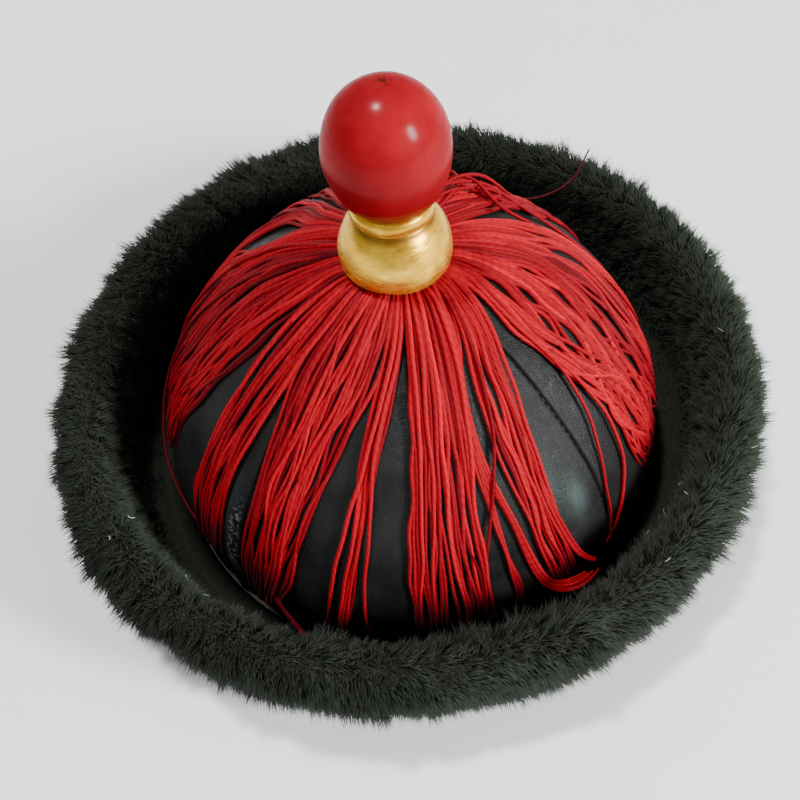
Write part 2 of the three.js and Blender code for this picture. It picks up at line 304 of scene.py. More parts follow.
def makeMottleGroup():
    # Soft uneven mask for paint, leather and cloth: 0 to 1
    inputs = {"Scale": 100.0, "Stretch Z": 1.0, "Low": 0.35, "High": 0.65}
    group, start, end = newShaderGroup("unevenness", inputs, "Mask")
    scaled = vector(group, "MULTIPLY", objectPlace(group), combine(group, 1.0, 1.0, start["Stretch Z"]))
    noise = addNoise(group, scaled, start["Scale"], 5.0, 0.6)[0]
    feed(group, end, {"Mask": mapTo(group, noise, 0.0, 1.0, start["Low"], start["High"], smooth=True)})
    return group


def makeGrainGroup():
    # Fine cells with creases between them, as in pressed leather: height 0 to 1
    group, start, end = newShaderGroup("pressedGrain", {"Scale": 900.0}, "Height")
    where = objectPlace(group)
    moved = vector(group, "ADD", where, vector(group, "SCALE", addNoise(group, where, 300.0, 2.0)[1], 0.0012))
    inputs = {"Vector": moved, "Scale": start["Scale"]}
    cells = addNode(group, "ShaderNodeTexVoronoi", inputs, feature="DISTANCE_TO_EDGE").outputs["Distance"]
    crease = mapTo(group, cells, 0.0, 1.0, 0.0, 0.22, smooth=True)
    pores = addNoise(group, where, 2600.0, 4.0)[0]
    feed(group, end, {"Height": calc(group, "MULTIPLY_ADD", pores, 0.35, crease)})
    return group


mottle = makeMottleGroup()
grain = makeGrainGroup()


def mottled(tree, scale, low=0.35, high=0.65, stretch=1.0):
    inputs = {"Scale": scale, "Stretch Z": stretch, "Low": low, "High": high}
    return addNode(tree, "ShaderNodeGroup", inputs, node_tree=mottle).outputs[0]


def mixColours(tree, mask, low, high, **settings):
    # low and high are colours, or outputs of other nodes
    inputs = {"Factor": mask}
    for key, colour in (("A", low), ("B", high)):
        inputs[key] = colour if isinstance(colour, bpy.types.NodeSocket) else (*colour, 1)
    return addNode(tree, "ShaderNodeMix", inputs, data_type="RGBA", **settings).outputs["Result"]


def addBump(tree, height, strength, distance):
    return addNode(tree, "ShaderNodeBump", {"Height": height, "Strength": strength, "Distance": distance}).outputs[0]


# The surface of the crown, by distance from its top

def domeTable():
    angle = np.linspace(math.pi / 2, 0, 900)
    power = 2 / hat["domePower"]
    radius = hat["crownRadius"] * np.maximum(np.cos(angle), 0) ** power
    height = hat["springHeight"] + (hat["crownHeight"] - hat["springHeight"]) * np.sin(angle) ** power
    radius = np.append(radius, np.full(80, hat["crownRadius"]))
    height = np.append(height, np.linspace(hat["springHeight"], hat["footHeight"], 81)[1:])
    arc = np.append(0, np.cumsum(np.hypot(np.diff(radius), np.diff(height))))
    out, up = -np.gradient(height, arc), np.gradient(radius, arc)
    return {"radius": radius, "height": height, "arc": arc, "out": out, "up": up}


dome = domeTable()


def onDome(arc, azimuth, lift):
    # A point at a distance along the crown from its top, lifted off the leather
    radius = np.interp(arc, dome["arc"], dome["radius"]) + lift * np.interp(arc, dome["arc"], dome["out"])
    height = np.interp(arc, dome["arc"], dome["height"]) + lift * np.interp(arc, dome["arc"], dome["up"])
    return around(radius, azimuth, height)


def arcAtRadius(radius):
    top = dome["radius"] < hat["crownRadius"] - 1e-6
    return float(np.interp(radius, dome["radius"][top], dome["arc"][top]))


def arcAtHeight(height):
    return float(np.interp(-height, -dome["height"], dome["arc"]))


# Leather crown

crownPiece = {
    "gores": 8, "seamAzimuth": 45, "wall": 0.002,
    "puff": 0.0006, "seamDepth": 0.0012, "seamWidth": 0.00028,
    "pucker": 0.00018, "puckerReach": 0.005, "puckerPitch": 0.0075,
    "columnsPerGore": 30, "rows": 72, "innerRows": 16,
    "topHole": 0.0023, "fade": (0.012, 0.05), "soft": 0.00028,
    "ridge": 0.12, "ridgeAway": 0.0016, "ridgeWidth": 0.0010,
    # Creases: azimuth, half width in degrees and height of each
    "creases": ((-48.5, 1.6, 0.0011), (-52, 1.4, -0.0005), (-74, 4.0, 0.0005)), "creaseFrom": (0.085, 0.108),
    # The seam's painted highlight, a pale flecked strip: azimuth, half width in degrees, and where it starts and ends
    # down the crown
    "seamShade": 0.0006, "seamGlint": (-47.5, 1.1, (0.098, 0.112), (0.138, 0.146)),
    # Painted sheen: pale patches that stand for highlights on the leather: azimuth, height, half width in degrees, half
    # height in metres and strength of each
    "paintedSheen": ((38.5, 0.0600, 2.5, 0.0080, 0.85), (-51.5, 0.0640, 2.4, 0.0120, 0.45),
        (33, 0.0700, 3.0, 0.0100, 0.35), (-6, 0.0640, 3.5, 0.0120, 0.06), (-24, 0.0640, 3.0, 0.0120, 0.05)),
    "stitches": {"Pitch": 0.0031, "Length": 0.0021, "Radius": 0.00022},
    "stitchesFrom": 0.030, "stitchesStop": 0.006, "stitchSink": 0.80,
}


def crownRelief(arc, azimuth, share, goreWidth):
    p = crownPiece
    fromSeam = np.minimum(share, 1 - share) * goreWidth
    fade = smoothStep(arc, *p["fade"])
    puff = p["puff"] * np.sin(math.pi * share) * fade
    groove = -p["seamDepth"] * np.exp(-((fromSeam / p["seamWidth"]) ** 2)) * (0.35 + 0.65 * fade)
    ridge = p["ridge"] * p["seamDepth"] * np.exp(-(((fromSeam - p["ridgeAway"]) / p["ridgeWidth"]) ** 2)) * fade
    ripple = np.sin(2 * math.pi * arc / p["puckerPitch"] + 5 * np.sin(azimuth * 3) + 1.7 * np.sin(arc * 310))
    pucker = p["pucker"] * ripple * np.exp(-fromSeam / p["puckerReach"]) * fade
    swell = np.sin(azimuth * 7 + arc * 55) * np.sin(arc * 95 + azimuth * 2) + 0.6 * np.sin(azimuth * 17 - arc * 120)
    crease = 0.0
    for place, width, tall in p["creases"]:
        near = np.exp(-(((fromFront(azimuth) - place) / width) ** 2))
        crease = crease + tall * near * smoothStep(arc, *p["creaseFrom"])
    return puff + groove + ridge + pucker + p["soft"] * swell * fade + crease


def makeCrown():
    p = crownPiece
    step = 0.5 - 0.5 * np.cos(np.linspace(0, math.pi, p["columnsPerGore"], endpoint=False))
    share = np.tile(step, p["gores"])[:, None]
    gore = np.repeat(np.arange(p["gores"]), p["columnsPerGore"])[:, None]
    azimuth = np.radians(p["seamAzimuth"] + (gore + share) * 360 / p["gores"])
    hole, foot = arcAtRadius(p["topHole"]), dome["arc"][-1]
    arc = np.linspace(foot, hole, p["rows"])[None, :]
    width = np.interp(arc, dome["arc"], dome["radius"]) * math.radians(360 / p["gores"])
    outer = onDome(arc, azimuth, crownRelief(arc, azimuth, share, width))
    inner = onDome(np.linspace(hole, foot, p["innerRows"])[None, :], azimuth, -p["wall"])
    inner[..., 2] = np.maximum(inner[..., 2], hat["footHeight"])
    grid = np.concatenate([outer, inner], 1)
    crown = addPiece("crown_leather", meshFromGrid("crown_leather", grid, wrapRows=True))
    # Painted highlight: a pale strip beside the seam at the left front, where light catches the seam's puckers
    degrees = fromFront(azimuth)
    place, wide, start, end = p["seamGlint"]
    seamGlint = np.exp(-(((degrees - place) / wide) ** 2)) * smoothStep(arc, *start) * (1 - smoothStep(arc, *end))
    seam = np.exp(-((np.minimum(share, 1 - share) * width / p["seamShade"]) ** 2))
    # Painted sheen: pale patches where the leather shows its highlights
    paintedSheen = 0.0
    for place, height, wide, deep, strength in p["paintedSheen"]:
        apart = ((degrees - place) / wide) ** 2 + ((arc - arcAtHeight(height)) / deep) ** 2
        paintedSheen = paintedSheen + strength * np.exp(-apart)
    for label, mask in (("seamGlint", seamGlint), ("seam", seam), ("paintedSheen", np.minimum(paintedSheen, 1))):
        storeOnPoints(crown.data, label, np.pad(mask, ((0, 0), (0, p["innerRows"]))))
    return crown


def makeLeather():
    material, tree, shader = newMaterial("black leather", {
        "Base Color": (0.008, 0.008, 0.008, 1), "Specular IOR Level": 0.19})
    fine = addNode(tree, "ShaderNodeGroup", {"Scale": 1100.0}, node_tree=grain).outputs[0]
    blotchy = mottled(tree, 230.0, 0.3, 0.7)
    cloudy = mottled(tree, 55.0, 0.3, 0.7)
    seam = readMask(tree, "seam")
    tone = mixColours(tree, cloudy, (0.0050, 0.0048, 0.0045), (0.0105, 0.0103, 0.0098))
    # Painted highlight beside the left seam, broken into flecks
    glintFlecks = calc(tree, "MULTIPLY", readMask(tree, "seamGlint"), mottled(tree, 650.0, 0.46, 0.60))
    tone = mixColours(tree, glintFlecks, tone, (0.16, 0.165, 0.16))
    # Painted sheen: the highlight patches are painted a pale bluish grey
    tone = mixColours(tree, readMask(tree, "paintedSheen"), tone, (0.052, 0.074, 0.070))
    tone = mixColours(tree, seam, tone, (0.0008, 0.0008, 0.0008))
    rough = mapTo(tree, calc(tree, "MULTIPLY_ADD", blotchy, 0.6, cloudy), 0.38, 0.62, fromHigh=1.6)
    relief = calc(tree, "MULTIPLY_ADD", blotchy, 1.6, fine)
    feed(tree, shader, {
        "Base Color": tone,
        "Roughness": calc(tree, "MULTIPLY_ADD", seam, 0.4, rough, clamp=True),
        "Normal": addBump(tree, relief, 0.35, 0.0002)})
    return material


crown = makeCrown()
crown.data.materials.append(makeLeather())
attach(crown, "root")
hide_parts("crown")
print("crown made")


def makeThreadFinish():
    material, tree, shader = newMaterial("black thread", {"Base Color": (0.006, 0.006, 0.007, 1), "Roughness": 0.55})
    feed(tree, shader, {"Roughness": mapTo(tree, mottled(tree, 1500.0), 0.45, 0.7)})
    return material


def makeStitchTree():
    tree, start, end = newGeometryTree("stitches along a seam", crownPiece["stitches"])
    line = addNode(tree, "GeometryNodeMeshToCurve", {"Mesh": start["Geometry"]}).outputs[0]
    inputs = {"Curve": line, "Length": start["Pitch"]}
    even = addNode(tree, "GeometryNodeResampleCurve", inputs, mode="LENGTH").outputs[0]
    tangent = addNode(tree, "GeometryNodeInputTangent").outputs[0]
    aim = addNode(tree, "FunctionNodeAlignRotationToVector", {"Vector": tangent}, axis="Z").outputs[0]
    bead = addNode(tree, "GeometryNodeMeshUVSphere", {"Segments": 6, "Rings": 4, "Radius": 1.0}).outputs["Mesh"]
    size = combine(tree, start["Radius"], start["Radius"], calc(tree, "MULTIPLY", start["Length"], 0.5))
    inputs = {"Points": even, "Instance": bead, "Rotation": aim, "Scale": size}
    closeTree(tree, start, end, realize(tree, addNode(tree, "GeometryNodeInstanceOnPoints", inputs).outputs[0]))
    return tree


def polylineMesh(name, lines, attributes=None):
    # Several open lines of points in one mesh, with a value per point for each named attribute
    points, edges = [], []
    for line in lines:
        first = len(points)
        points.extend(line.tolist())
        edges.extend((first + k, first + k + 1) for k in range(len(line) - 1))
    mesh = bpy.data.meshes.new(name)
    mesh.from_pydata(points, edges, [])
    for label, values in (attributes or {}).items():
        storeOnPoints(mesh, label, np.concatenate(values))
    return mesh


def makeSeamStitches():
    p = crownPiece
    arcs = np.linspace(arcAtRadius(p["stitchesFrom"]), dome["arc"][-1] - p["stitchesStop"], 80)
    seams = np.radians(p["seamAzimuth"] + np.arange(p["gores"]) * 360 / p["gores"])
    lines = [onDome(arcs, azimuth, -p["stitchSink"] * p["seamDepth"]) for azimuth in seams]
    base = addPiece("seamLines", polylineMesh("seamLines", lines))
    piece = growPiece("crown_stitches", base, makeStitchTree(), {**p["stitches"], "Finish": makeThreadFinish()})
    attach(piece, "root")


makeSeamStitches()
print("seams stitched")


# Brim: the cloth-covered ring and wall, and the plush that grows on them

def brimLine(t):
    p0 = np.array([hat["foldRadius"], hat["brimThickness"] / 2])
    p1 = np.array([hat["foldRadius"] + (hat["rimRadius"] - hat["foldRadius"]) * hat["brimBelly"], hat["brimThickness"]])
    p2 = np.array([hat["rimRadius"], hat["rimHeight"]])
    t = np.asarray(t, float)[..., None]
    point = (1 - t) ** 2 * p0 + 2 * t * (1 - t) * p1 + t**2 * p2
    tangent = 2 * (1 - t) * (p1 - p0) + 2 * t * (p2 - p1)
    return point, tangent / np.linalg.norm(tangent, axis=-1, keepdims=True)


def besideBrim(t, distance):
    point, tangent = brimLine(t)
    outward = np.stack([tangent[..., 1], -tangent[..., 0]], -1)
    return point + outward * np.asarray(distance, float)[..., None]


def overRim(turn, distance):
    # Round the rim's edge: turn 0 is the inner face and pi the outer one
    point, tangent = brimLine(1.0)
    inward = np.array([-tangent[1], tangent[0]])
    turn = np.asarray(turn, float)
    way = inward * np.cos(turn)[..., None] + tangent * np.sin(turn)[..., None]
    return point + way * np.asarray(distance, float)[..., None]


def wearBrim(radius, azimuth, height):
    w = wornRim
    rise = smoothStep(height, 0, hat["rimHeight"])
    oval = w["oval"] * np.cos(2 * (azimuth - math.radians(w["ovalAzimuth"]))) - w["corners"] * np.cos(3 * azimuth)
    lift = (w["wave"] * np.cos(3 * (azimuth - math.radians(w["waveAzimuth"])))
            - w["tilt"] * np.sin(azimuth) - w["saddle"] * np.cos(2 * azimuth))
    point = around(radius + oval * rise, azimuth, height + lift * rise)
    point[..., 0] += w["shift"][0] * rise
    point[..., 1] += w["shift"][1] * rise
    return point


brimPiece = {"columns": 200, "stations": 22}


def makeClothFinish():
    material, tree, shader = newMaterial("black cloth", {"Base Color": (0.008, 0.008, 0.008, 1), "Sheen Weight": 0.15})
    inputs = {"Vector": objectPlace(tree), "Scale": 420.0, "Distortion": 1.0}
    weave = addNode(tree, "ShaderNodeTexWave", inputs, wave_type="BANDS", bands_direction="DIAGONAL").outputs[1]
    cloudy = mottled(tree, 90.0)
    feed(tree, shader, {
        "Base Color": mixColours(tree, cloudy, (0.0130, 0.0118, 0.0092), (0.0240, 0.0216, 0.0170)),
        "Roughness": mapTo(tree, cloudy, 0.8, 0.95),
        "Normal": addBump(tree, weave, 0.5, 0.0002)})
    return material


def makeBrim():
    half = hat["brimThickness"] / 2
    t = np.linspace(0, 1, brimPiece["stations"])
    loop = np.concatenate([
        [[hat["ringRadius"], 0.0]],
        besideBrim(t, half),
        overRim(np.linspace(math.pi, 0, 6)[1:-1], half),
        besideBrim(t[::-1], -half),
        [[hat["ringRadius"] + 0.0004, hat["brimThickness"]], [hat["ringRadius"], half]],
    ])
    loop[:, 1] = np.maximum(loop[:, 1], 0)
    grid = wearBrim(loop[None, :, 0], allRound(brimPiece["columns"]), loop[None, :, 1])
    return addPiece("brim_cloth", meshFromGrid("brim_cloth", grid, wrapRows=True))


brim = makeBrim()
brim.data.materials.append(makeClothFinish())
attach(brim, "root")
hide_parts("brim")
print("brim made")


# q runs over the plush from the trough's bottom inside, over the rim, down to the foot outside
plush = {
    "ringEnd": 0.06, "innerEnd": 0.34, "outerStart": 0.56, "troughStart": 0.05, "footEnd": 0.12,
    "ringFrom": (0.0952, 0.0036), "skinThickness": 0.0008,
    # Distance of the backing from the brim, length of the pile and its density, each over q. The density also sets
    # painted shade: strands are darker where it is low, down in the trough and near the foot
    "skin": ((0, 0.06, 0.18, 0.26, 0.34, 0.45, 0.56, 0.75, 1),
             (0.0016, 0.0018, 0.0022, 0.0042, 0.0062, 0.0088, 0.0086, 0.0060, 0.0026)),
    "pile": ((0, 0.06, 0.17, 0.25, 0.34, 0.45, 0.56, 0.8, 1),
             (0.0010, 0.0014, 0.0020, 0.0040, 0.0060, 0.0074, 0.0074, 0.0068, 0.0040)),
    "crowd": ((0, 0.10, 0.20, 0.28, 0.5, 0.8, 1), (0, 0, 0.5, 1.0, 1.0, 0.85, 0.5)),
    "columns": 260, "rows": 72, "firstSeed": 11,
    "growth": {
        "Density": 2.2e6, "Width": 0.00025, "Clump Size": 0.0052, "Clump Pull": 0.78, "Bend": 2.4, "Bend Scale": 75.0,
        "Droop": 0.08, "Comb": -0.42, "Sweep Out": 0.26, "Patchiness": 0.36, "Patch Scale": 85.0, "Stray": 0.36},
    "rootColour": (0.0050, 0.0070, 0.0036), "tipColour": (0.0230, 0.0313, 0.0159),
    # Painted light: how pale the fur is painted at the front, and at the right and left sides
    "frontLight": 0.46, "rightLight": 0.82, "leftLight": 0.42,
    "quarters": (("front", -45), ("right", 45), ("back", 135), ("left", 225)),
}


def plushSection(q, lift):
    p = plush
    skin = np.interp(q, *p["skin"]) + lift
    point = np.zeros((len(q), 2))
    ring, outer = q < p["ringEnd"], q >= p["outerStart"]
    inner = (q <= p["innerEnd"]) & ~ring
    over = ~inner & ~outer & ~ring
    share = (q[ring] / p["ringEnd"])[:, None]
    start = besideBrim(p["troughStart"], -np.interp(p["ringEnd"], *p["skin"]) - lift)
    point[ring] = (1 - share) * (np.array(p["ringFrom"]) + (0, lift)) + share * start
    tInner = p["troughStart"] + (1 - p["troughStart"]) * (q[inner] - p["ringEnd"]) / (p["innerEnd"] - p["ringEnd"])
    tOuter = 1 - (1 - p["footEnd"]) * (q[outer] - p["outerStart"]) / (1 - p["outerStart"])
    point[inner] = besideBrim(tInner, -skin[inner])
    point[outer] = besideBrim(tOuter, skin[outer])
    turn = (q[over] - p["innerEnd"]) / (p["outerStart"] - p["innerEnd"]) * math.pi
    point[over] = overRim(turn, skin[over])
    return point


def makePlushFinish():
    root, tip = plush["rootColour"], plush["tipColour"]
    material, tree, shader = newMaterial("dark plush", {
        "Base Color": (*root, 1), "Roughness": 0.6, "Specular IOR Level": 0.26,
        "Sheen Weight": 0.05, "Sheen Roughness": 0.5, "Sheen Tint": (0.75, 0.9, 0.75, 1)})
    own = readMask(tree, "shade")
    lighter = calc(tree, "MULTIPLY", readMask(tree, "tip"), own)
    feed(tree, shader, {"Base Color": mixColours(tree, lighter, root, tip), "Roughness": mapTo(tree, own, 0.5, 0.75)})
    return material


def makeSkinFinish():
    material, tree, shader = newMaterial("plush backing", {
        "Base Color": (0.004, 0.005, 0.0045, 1), "Roughness": 0.95, "Specular IOR Level": 0.1})
    knit = mottled(tree, 700.0, 0.3, 0.7)
    feed(tree, shader, {"Base Color": mixColours(tree, knit, (0.0110, 0.0112, 0.0082), (0.0200, 0.0205, 0.0150))})
    return material


def makePlushTree():
    tree, start, end = newGeometryTree("pile on a skin", {**plush["growth"], "Seed": plush["firstSeed"]})
    where = addNode(tree, "GeometryNodeInputPosition").outputs[0]
    pile = readValue(tree, "pile")

    def ofPile(label):
        return calc(tree, "MULTIPLY", pile, start[label])

    def chance(low, high):
        inputs = {2: low, 3: high, "Seed": start["Seed"]}
        return addNode(tree, "FunctionNodeRandomValue", inputs, data_type="FLOAT").outputs[1]

    thick = calc(tree, "MULTIPLY", start["Density"], readValue(tree, "crowd"))
    inputs = {"Mesh": start["Geometry"], "Density": thick, "Seed": start["Seed"]}
    points = addNode(tree, "GeometryNodeDistributePointsOnFaces", inputs, distribute_method="RANDOM").outputs

    # Each strand stands on the skin, leans into its tuft, bends with its neighbours and droops
    inputs = {"Vector": where, "Scale": calc(tree, "DIVIDE", 1.0, start["Clump Size"]), "Randomness": 1.0}
    tufts = addNode(tree, "ShaderNodeTexVoronoi", inputs, feature="F1").outputs
    pulled = vector(tree, "SCALE", vector(tree, "SUBTRACT", tufts["Position"], where), start["Clump Pull"])
    standing = vector(tree, "ADD", vector(tree, "SCALE", points["Normal"], pile), pulled)
    flow = addNoise(tree, where, start["Bend Scale"], 1.5)[1]
    bent = vector(tree, "SCALE", vector(tree, "SUBTRACT", flow, (0.5, 0.5, 0.5)), ofPile("Bend"))
    down = combine(tree, 0.0, 0.0, calc(tree, "MULTIPLY", ofPile("Droop"), -1.0))
    # The pile is combed one way round the hat and a little outwards
    outward = vector(tree, "NORMALIZE", vector(tree, "MULTIPLY", where, (1, 1, 0)))
    combed = vector(tree, "SCALE", vector(tree, "CROSS_PRODUCT", outward, (0, 0, 1)), ofPile("Comb"))
    laid = vector(tree, "ADD", combed, vector(tree, "SCALE", outward, ofPile("Sweep Out")))
    leaning = vector(tree, "ADD", bent, vector(tree, "ADD", down, laid))
    inputs = {0: (-1, -1, -1), 1: (1, 1, 1), "Seed": start["Seed"]}
    anyWay = addNode(tree, "FunctionNodeRandomValue", inputs, data_type="FLOAT_VECTOR").outputs[0]
    leaning = vector(tree, "ADD", leaning, vector(tree, "SCALE", anyWay, ofPile("Stray")))
    way = vector(tree, "ADD", standing, leaning)
    aim = addNode(tree, "FunctionNodeAlignRotationToVector", {"Vector": way}, axis="Z").outputs[0]
    inputs = {"Axis": (0, 0, 1), "Angle": chance(0.0, 6.283)}
    spin = addNode(tree, "FunctionNodeAxisAngleToRotation", inputs).outputs[0]
    inputs = {"Rotation": aim, "Rotate By": spin}
    turn = addNode(tree, "FunctionNodeRotateRotation", inputs, rotation_space="LOCAL").outputs[0]

    # Its length varies by itself, by tuft and by patch
    patch = addNoise(tree, where, start["Patch Scale"], 1.0)[0]
    shortest, longest = (calc(tree, how, 1.0, start["Patchiness"]) for how in ("SUBTRACT", "ADD"))
    length = calc(tree, "MULTIPLY", pile, chance(0.62, 1.18))
    length = calc(tree, "MULTIPLY", length, mapTo(tree, tufts["Color"], 0.80, 1.10))
    length = calc(tree, "MULTIPLY", length, mapTo(tree, patch, shortest, longest, 0.3, 0.7))

    inputs = {"Vertices": 3, "Side Segments": 1, "Radius Top": 0.0, "Radius Bottom": 1.0, "Depth": 1.0}
    spike = addNode(tree, "GeometryNodeMeshCone", inputs, fill_type="NGON").outputs["Mesh"]
    here = separate(tree, where)
    inputs = {
        "Points": points["Points"], "Instance": storeValue(tree, spike, "tip", here[2]),
        "Rotation": turn, "Scale": combine(tree, start["Width"], start["Width"], length)}
    strands = addNode(tree, "GeometryNodeInstanceOnPoints", inputs).outputs[0]
    # A strand's shade is random, times the painted light and shade stored on the ground as tone
    own = calc(tree, "MULTIPLY", chance(0.40, 1.0), readValue(tree, "tone"))
    strands = realize(tree, storeValue(tree, strands, "shade", own, domain="INSTANCE"))
    # Nothing reaches below the floor
    kept = combine(tree, here[0], here[1], calc(tree, "MAXIMUM", here[2], 0.0003))
    inputs = {"Geometry": strands, "Position": kept}
    closeTree(tree, start, end, addNode(tree, "GeometryNodeSetPosition", inputs).outputs[0])
    return tree


def makePlushSkin():
    p = plush
    q = np.linspace(0, 1, p["rows"])
    loop = np.concatenate([plushSection(q, 0.0), plushSection(q[::-8], -p["skinThickness"])])[::-1]
    loop[:, 1] = np.maximum(loop[:, 1], 0.0004)
    grid = wearBrim(loop[None, :, 0], allRound(p["columns"]), loop[None, :, 1])
    skin = addPiece("plush_backing", meshFromGrid("plush_backing", grid, wrapRows=True))
    skin.data.materials.append(makeSkinFinish())
    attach(skin, "root")
    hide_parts("fur_band")


def makePile():
    p = plush
    tree, finish = makePlushTree(), makePlushFinish()
    q = np.linspace(0, 1, p["rows"])
    surface = plushSection(q, -0.0002)
    surface[:, 1] = np.maximum(surface[:, 1], 0.0006)
    pile, crowd = np.interp(q, *p["pile"]), np.interp(q, *p["crowd"])
    for number, (side, middle) in enumerate(p["quarters"]):
        azimuth = np.radians(np.linspace(middle, middle + 90, p["columns"] // 4 + 1))[:, None]
        grid = wearBrim(surface[None, :, 0], azimuth, surface[None, :, 1])
        columns, rows = grid.shape[:2]
        index = np.arange(columns * rows).reshape(columns, rows)
        faces = np.stack([index[:-1, 1:], index[1:, 1:], index[1:, :-1], index[:-1, :-1]], -1).reshape(-1, 4)
        mesh = bpy.data.meshes.new("plushGround")
        mesh.from_pydata(grid.reshape(-1, 3).tolist(), [], faces.tolist())
        # Painted light and shade: the fur is painted darkest at the front and back and palest at the sides, and darker
        # still where it grows sparse
        sideways = np.sin(azimuth)
        tone = crowd * (p["frontLight"] + np.where(sideways > 0, p["rightLight"], p["leftLight"]) * sideways**2)
        for label, values in (("pile", pile), ("crowd", crowd), ("tone", tone)):
            storeOnPoints(mesh, label, np.broadcast_to(values, (columns, rows)))
        values = {**p["growth"], "Seed": p["firstSeed"] + number, "Finish": finish}
        piece = growPiece("plush_" + side, addPiece("plushGround", mesh), tree, values)
        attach(piece, "root")


makePlushSkin()
makePile()
print("plush grown")


# Red cords that fan out from under the gilt base. Each row of a table is one lock of cords:
# its name, how many cords it has, its middle and half width in degrees at eight stations from the base to the
# hem, and the height of its cut ends.

fringePiece = {
    "stations": (0.017, 0.030, 0.045, 0.060, 0.075, 0.086, 0.035, 0.022),
    "radii": 6, "startRadius": 0.0115,
    "cordRadius": 0.00073, "threadRadius": 0.00034, "ringSides": 7, "steps": 40, "twist": 1900.0,
    "swell": ((0, 0.12, 0.45, 0.86, 1), (1.30, 1.22, 1.0, 0.86, 0.45)),
    "shadeFrom": 0.055, "shadeTo": 0.038, "endShade": 0.88,
    "shadeLower": {"thin a": 0.014, "thin b": 0.014, "thin c": 0.014, "over seam a": 0.02, "over seam b": 0.02},
    "clear": 0.00022, "layer": 0.00100, "mostLayers": 3.6, "singleLift": 0.0016, "mostLift": 0.0044,
    "underBase": 0.1154, "wobble": 0.42, "endScatter": 0.0030, "endBow": 0.003, "bunch": 2.0,
    "partingReach": 2.9, "partingEnds": 1.25,
    # On each side, tone scales the cords' colour; the left side's lower tone is painted shade
    "sides": {
        "front": {"thicker": 1.0, "crossing": 0.11, "tone": 1.0, "fullness": 1.08, "weave": 0.06},
        "right": {"thicker": 1.12, "crossing": 0.15, "tone": 1.0, "fullness": 1.0, "weave": 0.36},
        "left": {"thicker": 1.0, "crossing": 0.13, "tone": 0.76, "fullness": 1.04, "weave": 0.08},
        "back": {"thicker": 1.0, "crossing": 0.14, "tone": 1.0, "fullness": 1.0, "weave": 0.14},
    },
    # Shade and thickness of the loose cords that aren't like the rest
    "looseLook": {"left edge": (0.10, 0.62)}, "towardsView": (0, -0.58, 0.81),
}

frontLocks = (
    ("left front", 16, (-60, -60, -57.5, -57.8, -57, -57, -56.5, -55.5), (10, 11, 9.5, 6.8, 5.3, 4.6, 4.2, 3), 0.026),
    ("single a", 1, (-48, -48, -49.5, -50, -50.7, -51.3, -51, -51), 0, 0.026),
    ("left centre", 28, (-28, -30.5, -31.8, -34, -35.8, -36.8, -37.4, -38.5),
        (22, 18.5, 15, 10.4, 7.8, 6.4, 5.2, 3.8), 0.021),
    ("thin a", 1, (-3, -6, -11, -15, -17.5, -20.5, -22, -23.5), 0, 0.020),
    ("thin b", 5, (0, -5, -10.5, -13.5, -14.8, -16.8, -18.2, -19.4), (4, 5, 3.6, 2.4, 1.6, 1.2, 1, 0.8), 0.018),
    ("thin c", 1, (1, -3, -9, -12, -13, -13.6, -13.7, -13.6), 0, 0.019),
    ("centre a", 11, (9, 6.5, 4.2, 2.5, 0.8, 0, 0, 0.2), (6.5, 5, 4.5, 4.3, 3.3, 3.4, 3.2, 3), 0.020),
    ("centre b", 13, (22, 17, 13.5, 11.5, 9, 9, 9.3, 9.5), (8, 7.5, 5.6, 5, 3.9, 4.2, 4, 3.8), 0.020),
    ("crossing", 1, (45, 36, 29, 24, 17, 12.5, 11.5, 11), 0, 0.021),
    ("right thin", 3, (36, 30, 19, 16.4, 16.6, 17.6, 19.0, 20), (8, 6, 2.4, 1.2, 0.9, 0.8, 0.8, 0.8), 0.026),
    ("right centre", 12, (52, 43, 32, 29.3, 27.8, 27.7, 30.0, 33), (10, 9, 6.5, 5, 3.6, 3.4, 2.7, 3), 0.024),
    ("single b", 1, (62, 52, 40.5, 34.6, 32, 31.3, 32.5, 35), 0, 0.026),
    ("over seam a", 1, (75, 64, 56, 55.5, 51, 46.5, 44.6, 44.5), 0, 0.030),
    ("over seam b", 1, (72, 60, 55, 56.5, 57, 55, 47, 41), 0, 0.026),
)
rightLocks = (
    ("right a", 13, (72, 67.5, 60, 60, 64, 67, 70, 71), (11, 9, 9, 4.5, 5, 6, 7, 7), 0.036),
    ("right b", 14, (86, 84, 80, 72.5, 66, 65, 67, 68), (8, 8, 11, 9.5, 7, 7, 7, 7), 0.034),
    ("right c", 10, (98, 98, 96, 88, 79, 75, 76, 76), (7, 6, 4.5, 6, 6, 6, 6, 6), 0.037),
    ("right d", 11, (110, 109, 107, 103, 91, 86, 86, 86), (8, 7, 7, 8, 6, 6, 6, 6), 0.040),
    ("right e", 3, (122, 121, 119, 115, 105, 99, 98, 98), (5, 4, 2.5, 2, 3, 3, 3, 3), 0.044),
    ("over a", 2, (84, 78, 74, 74, 77, 80, 82, 83), (2, 2, 3, 3, 3, 2, 2, 2), 0.040),
    ("over b", 2, (96, 90, 82, 74, 69, 67, 67, 67), (2, 2, 3, 3, 2, 2, 2, 2), 0.036),
    ("over c", 2, (104, 100, 92, 82, 74, 71, 71, 71), (2, 2, 3, 3, 3, 2, 2, 2), 0.038),
    ("over d", 2, (72, 66, 62, 65, 71, 76, 78, 78), (1, 1, 2, 2, 2, 1, 1, 1), 0.038),
    ("over e", 2, (112, 108, 102, 95, 87, 82, 81, 81), (1, 2, 2, 2, 2, 2, 2, 2), 0.040),
    ("right f", 7, (136, 134, 133, 131, 130, 129, 128, 128), (8, 7, 5, 4, 4, 4, 4, 4), 0.046),
)
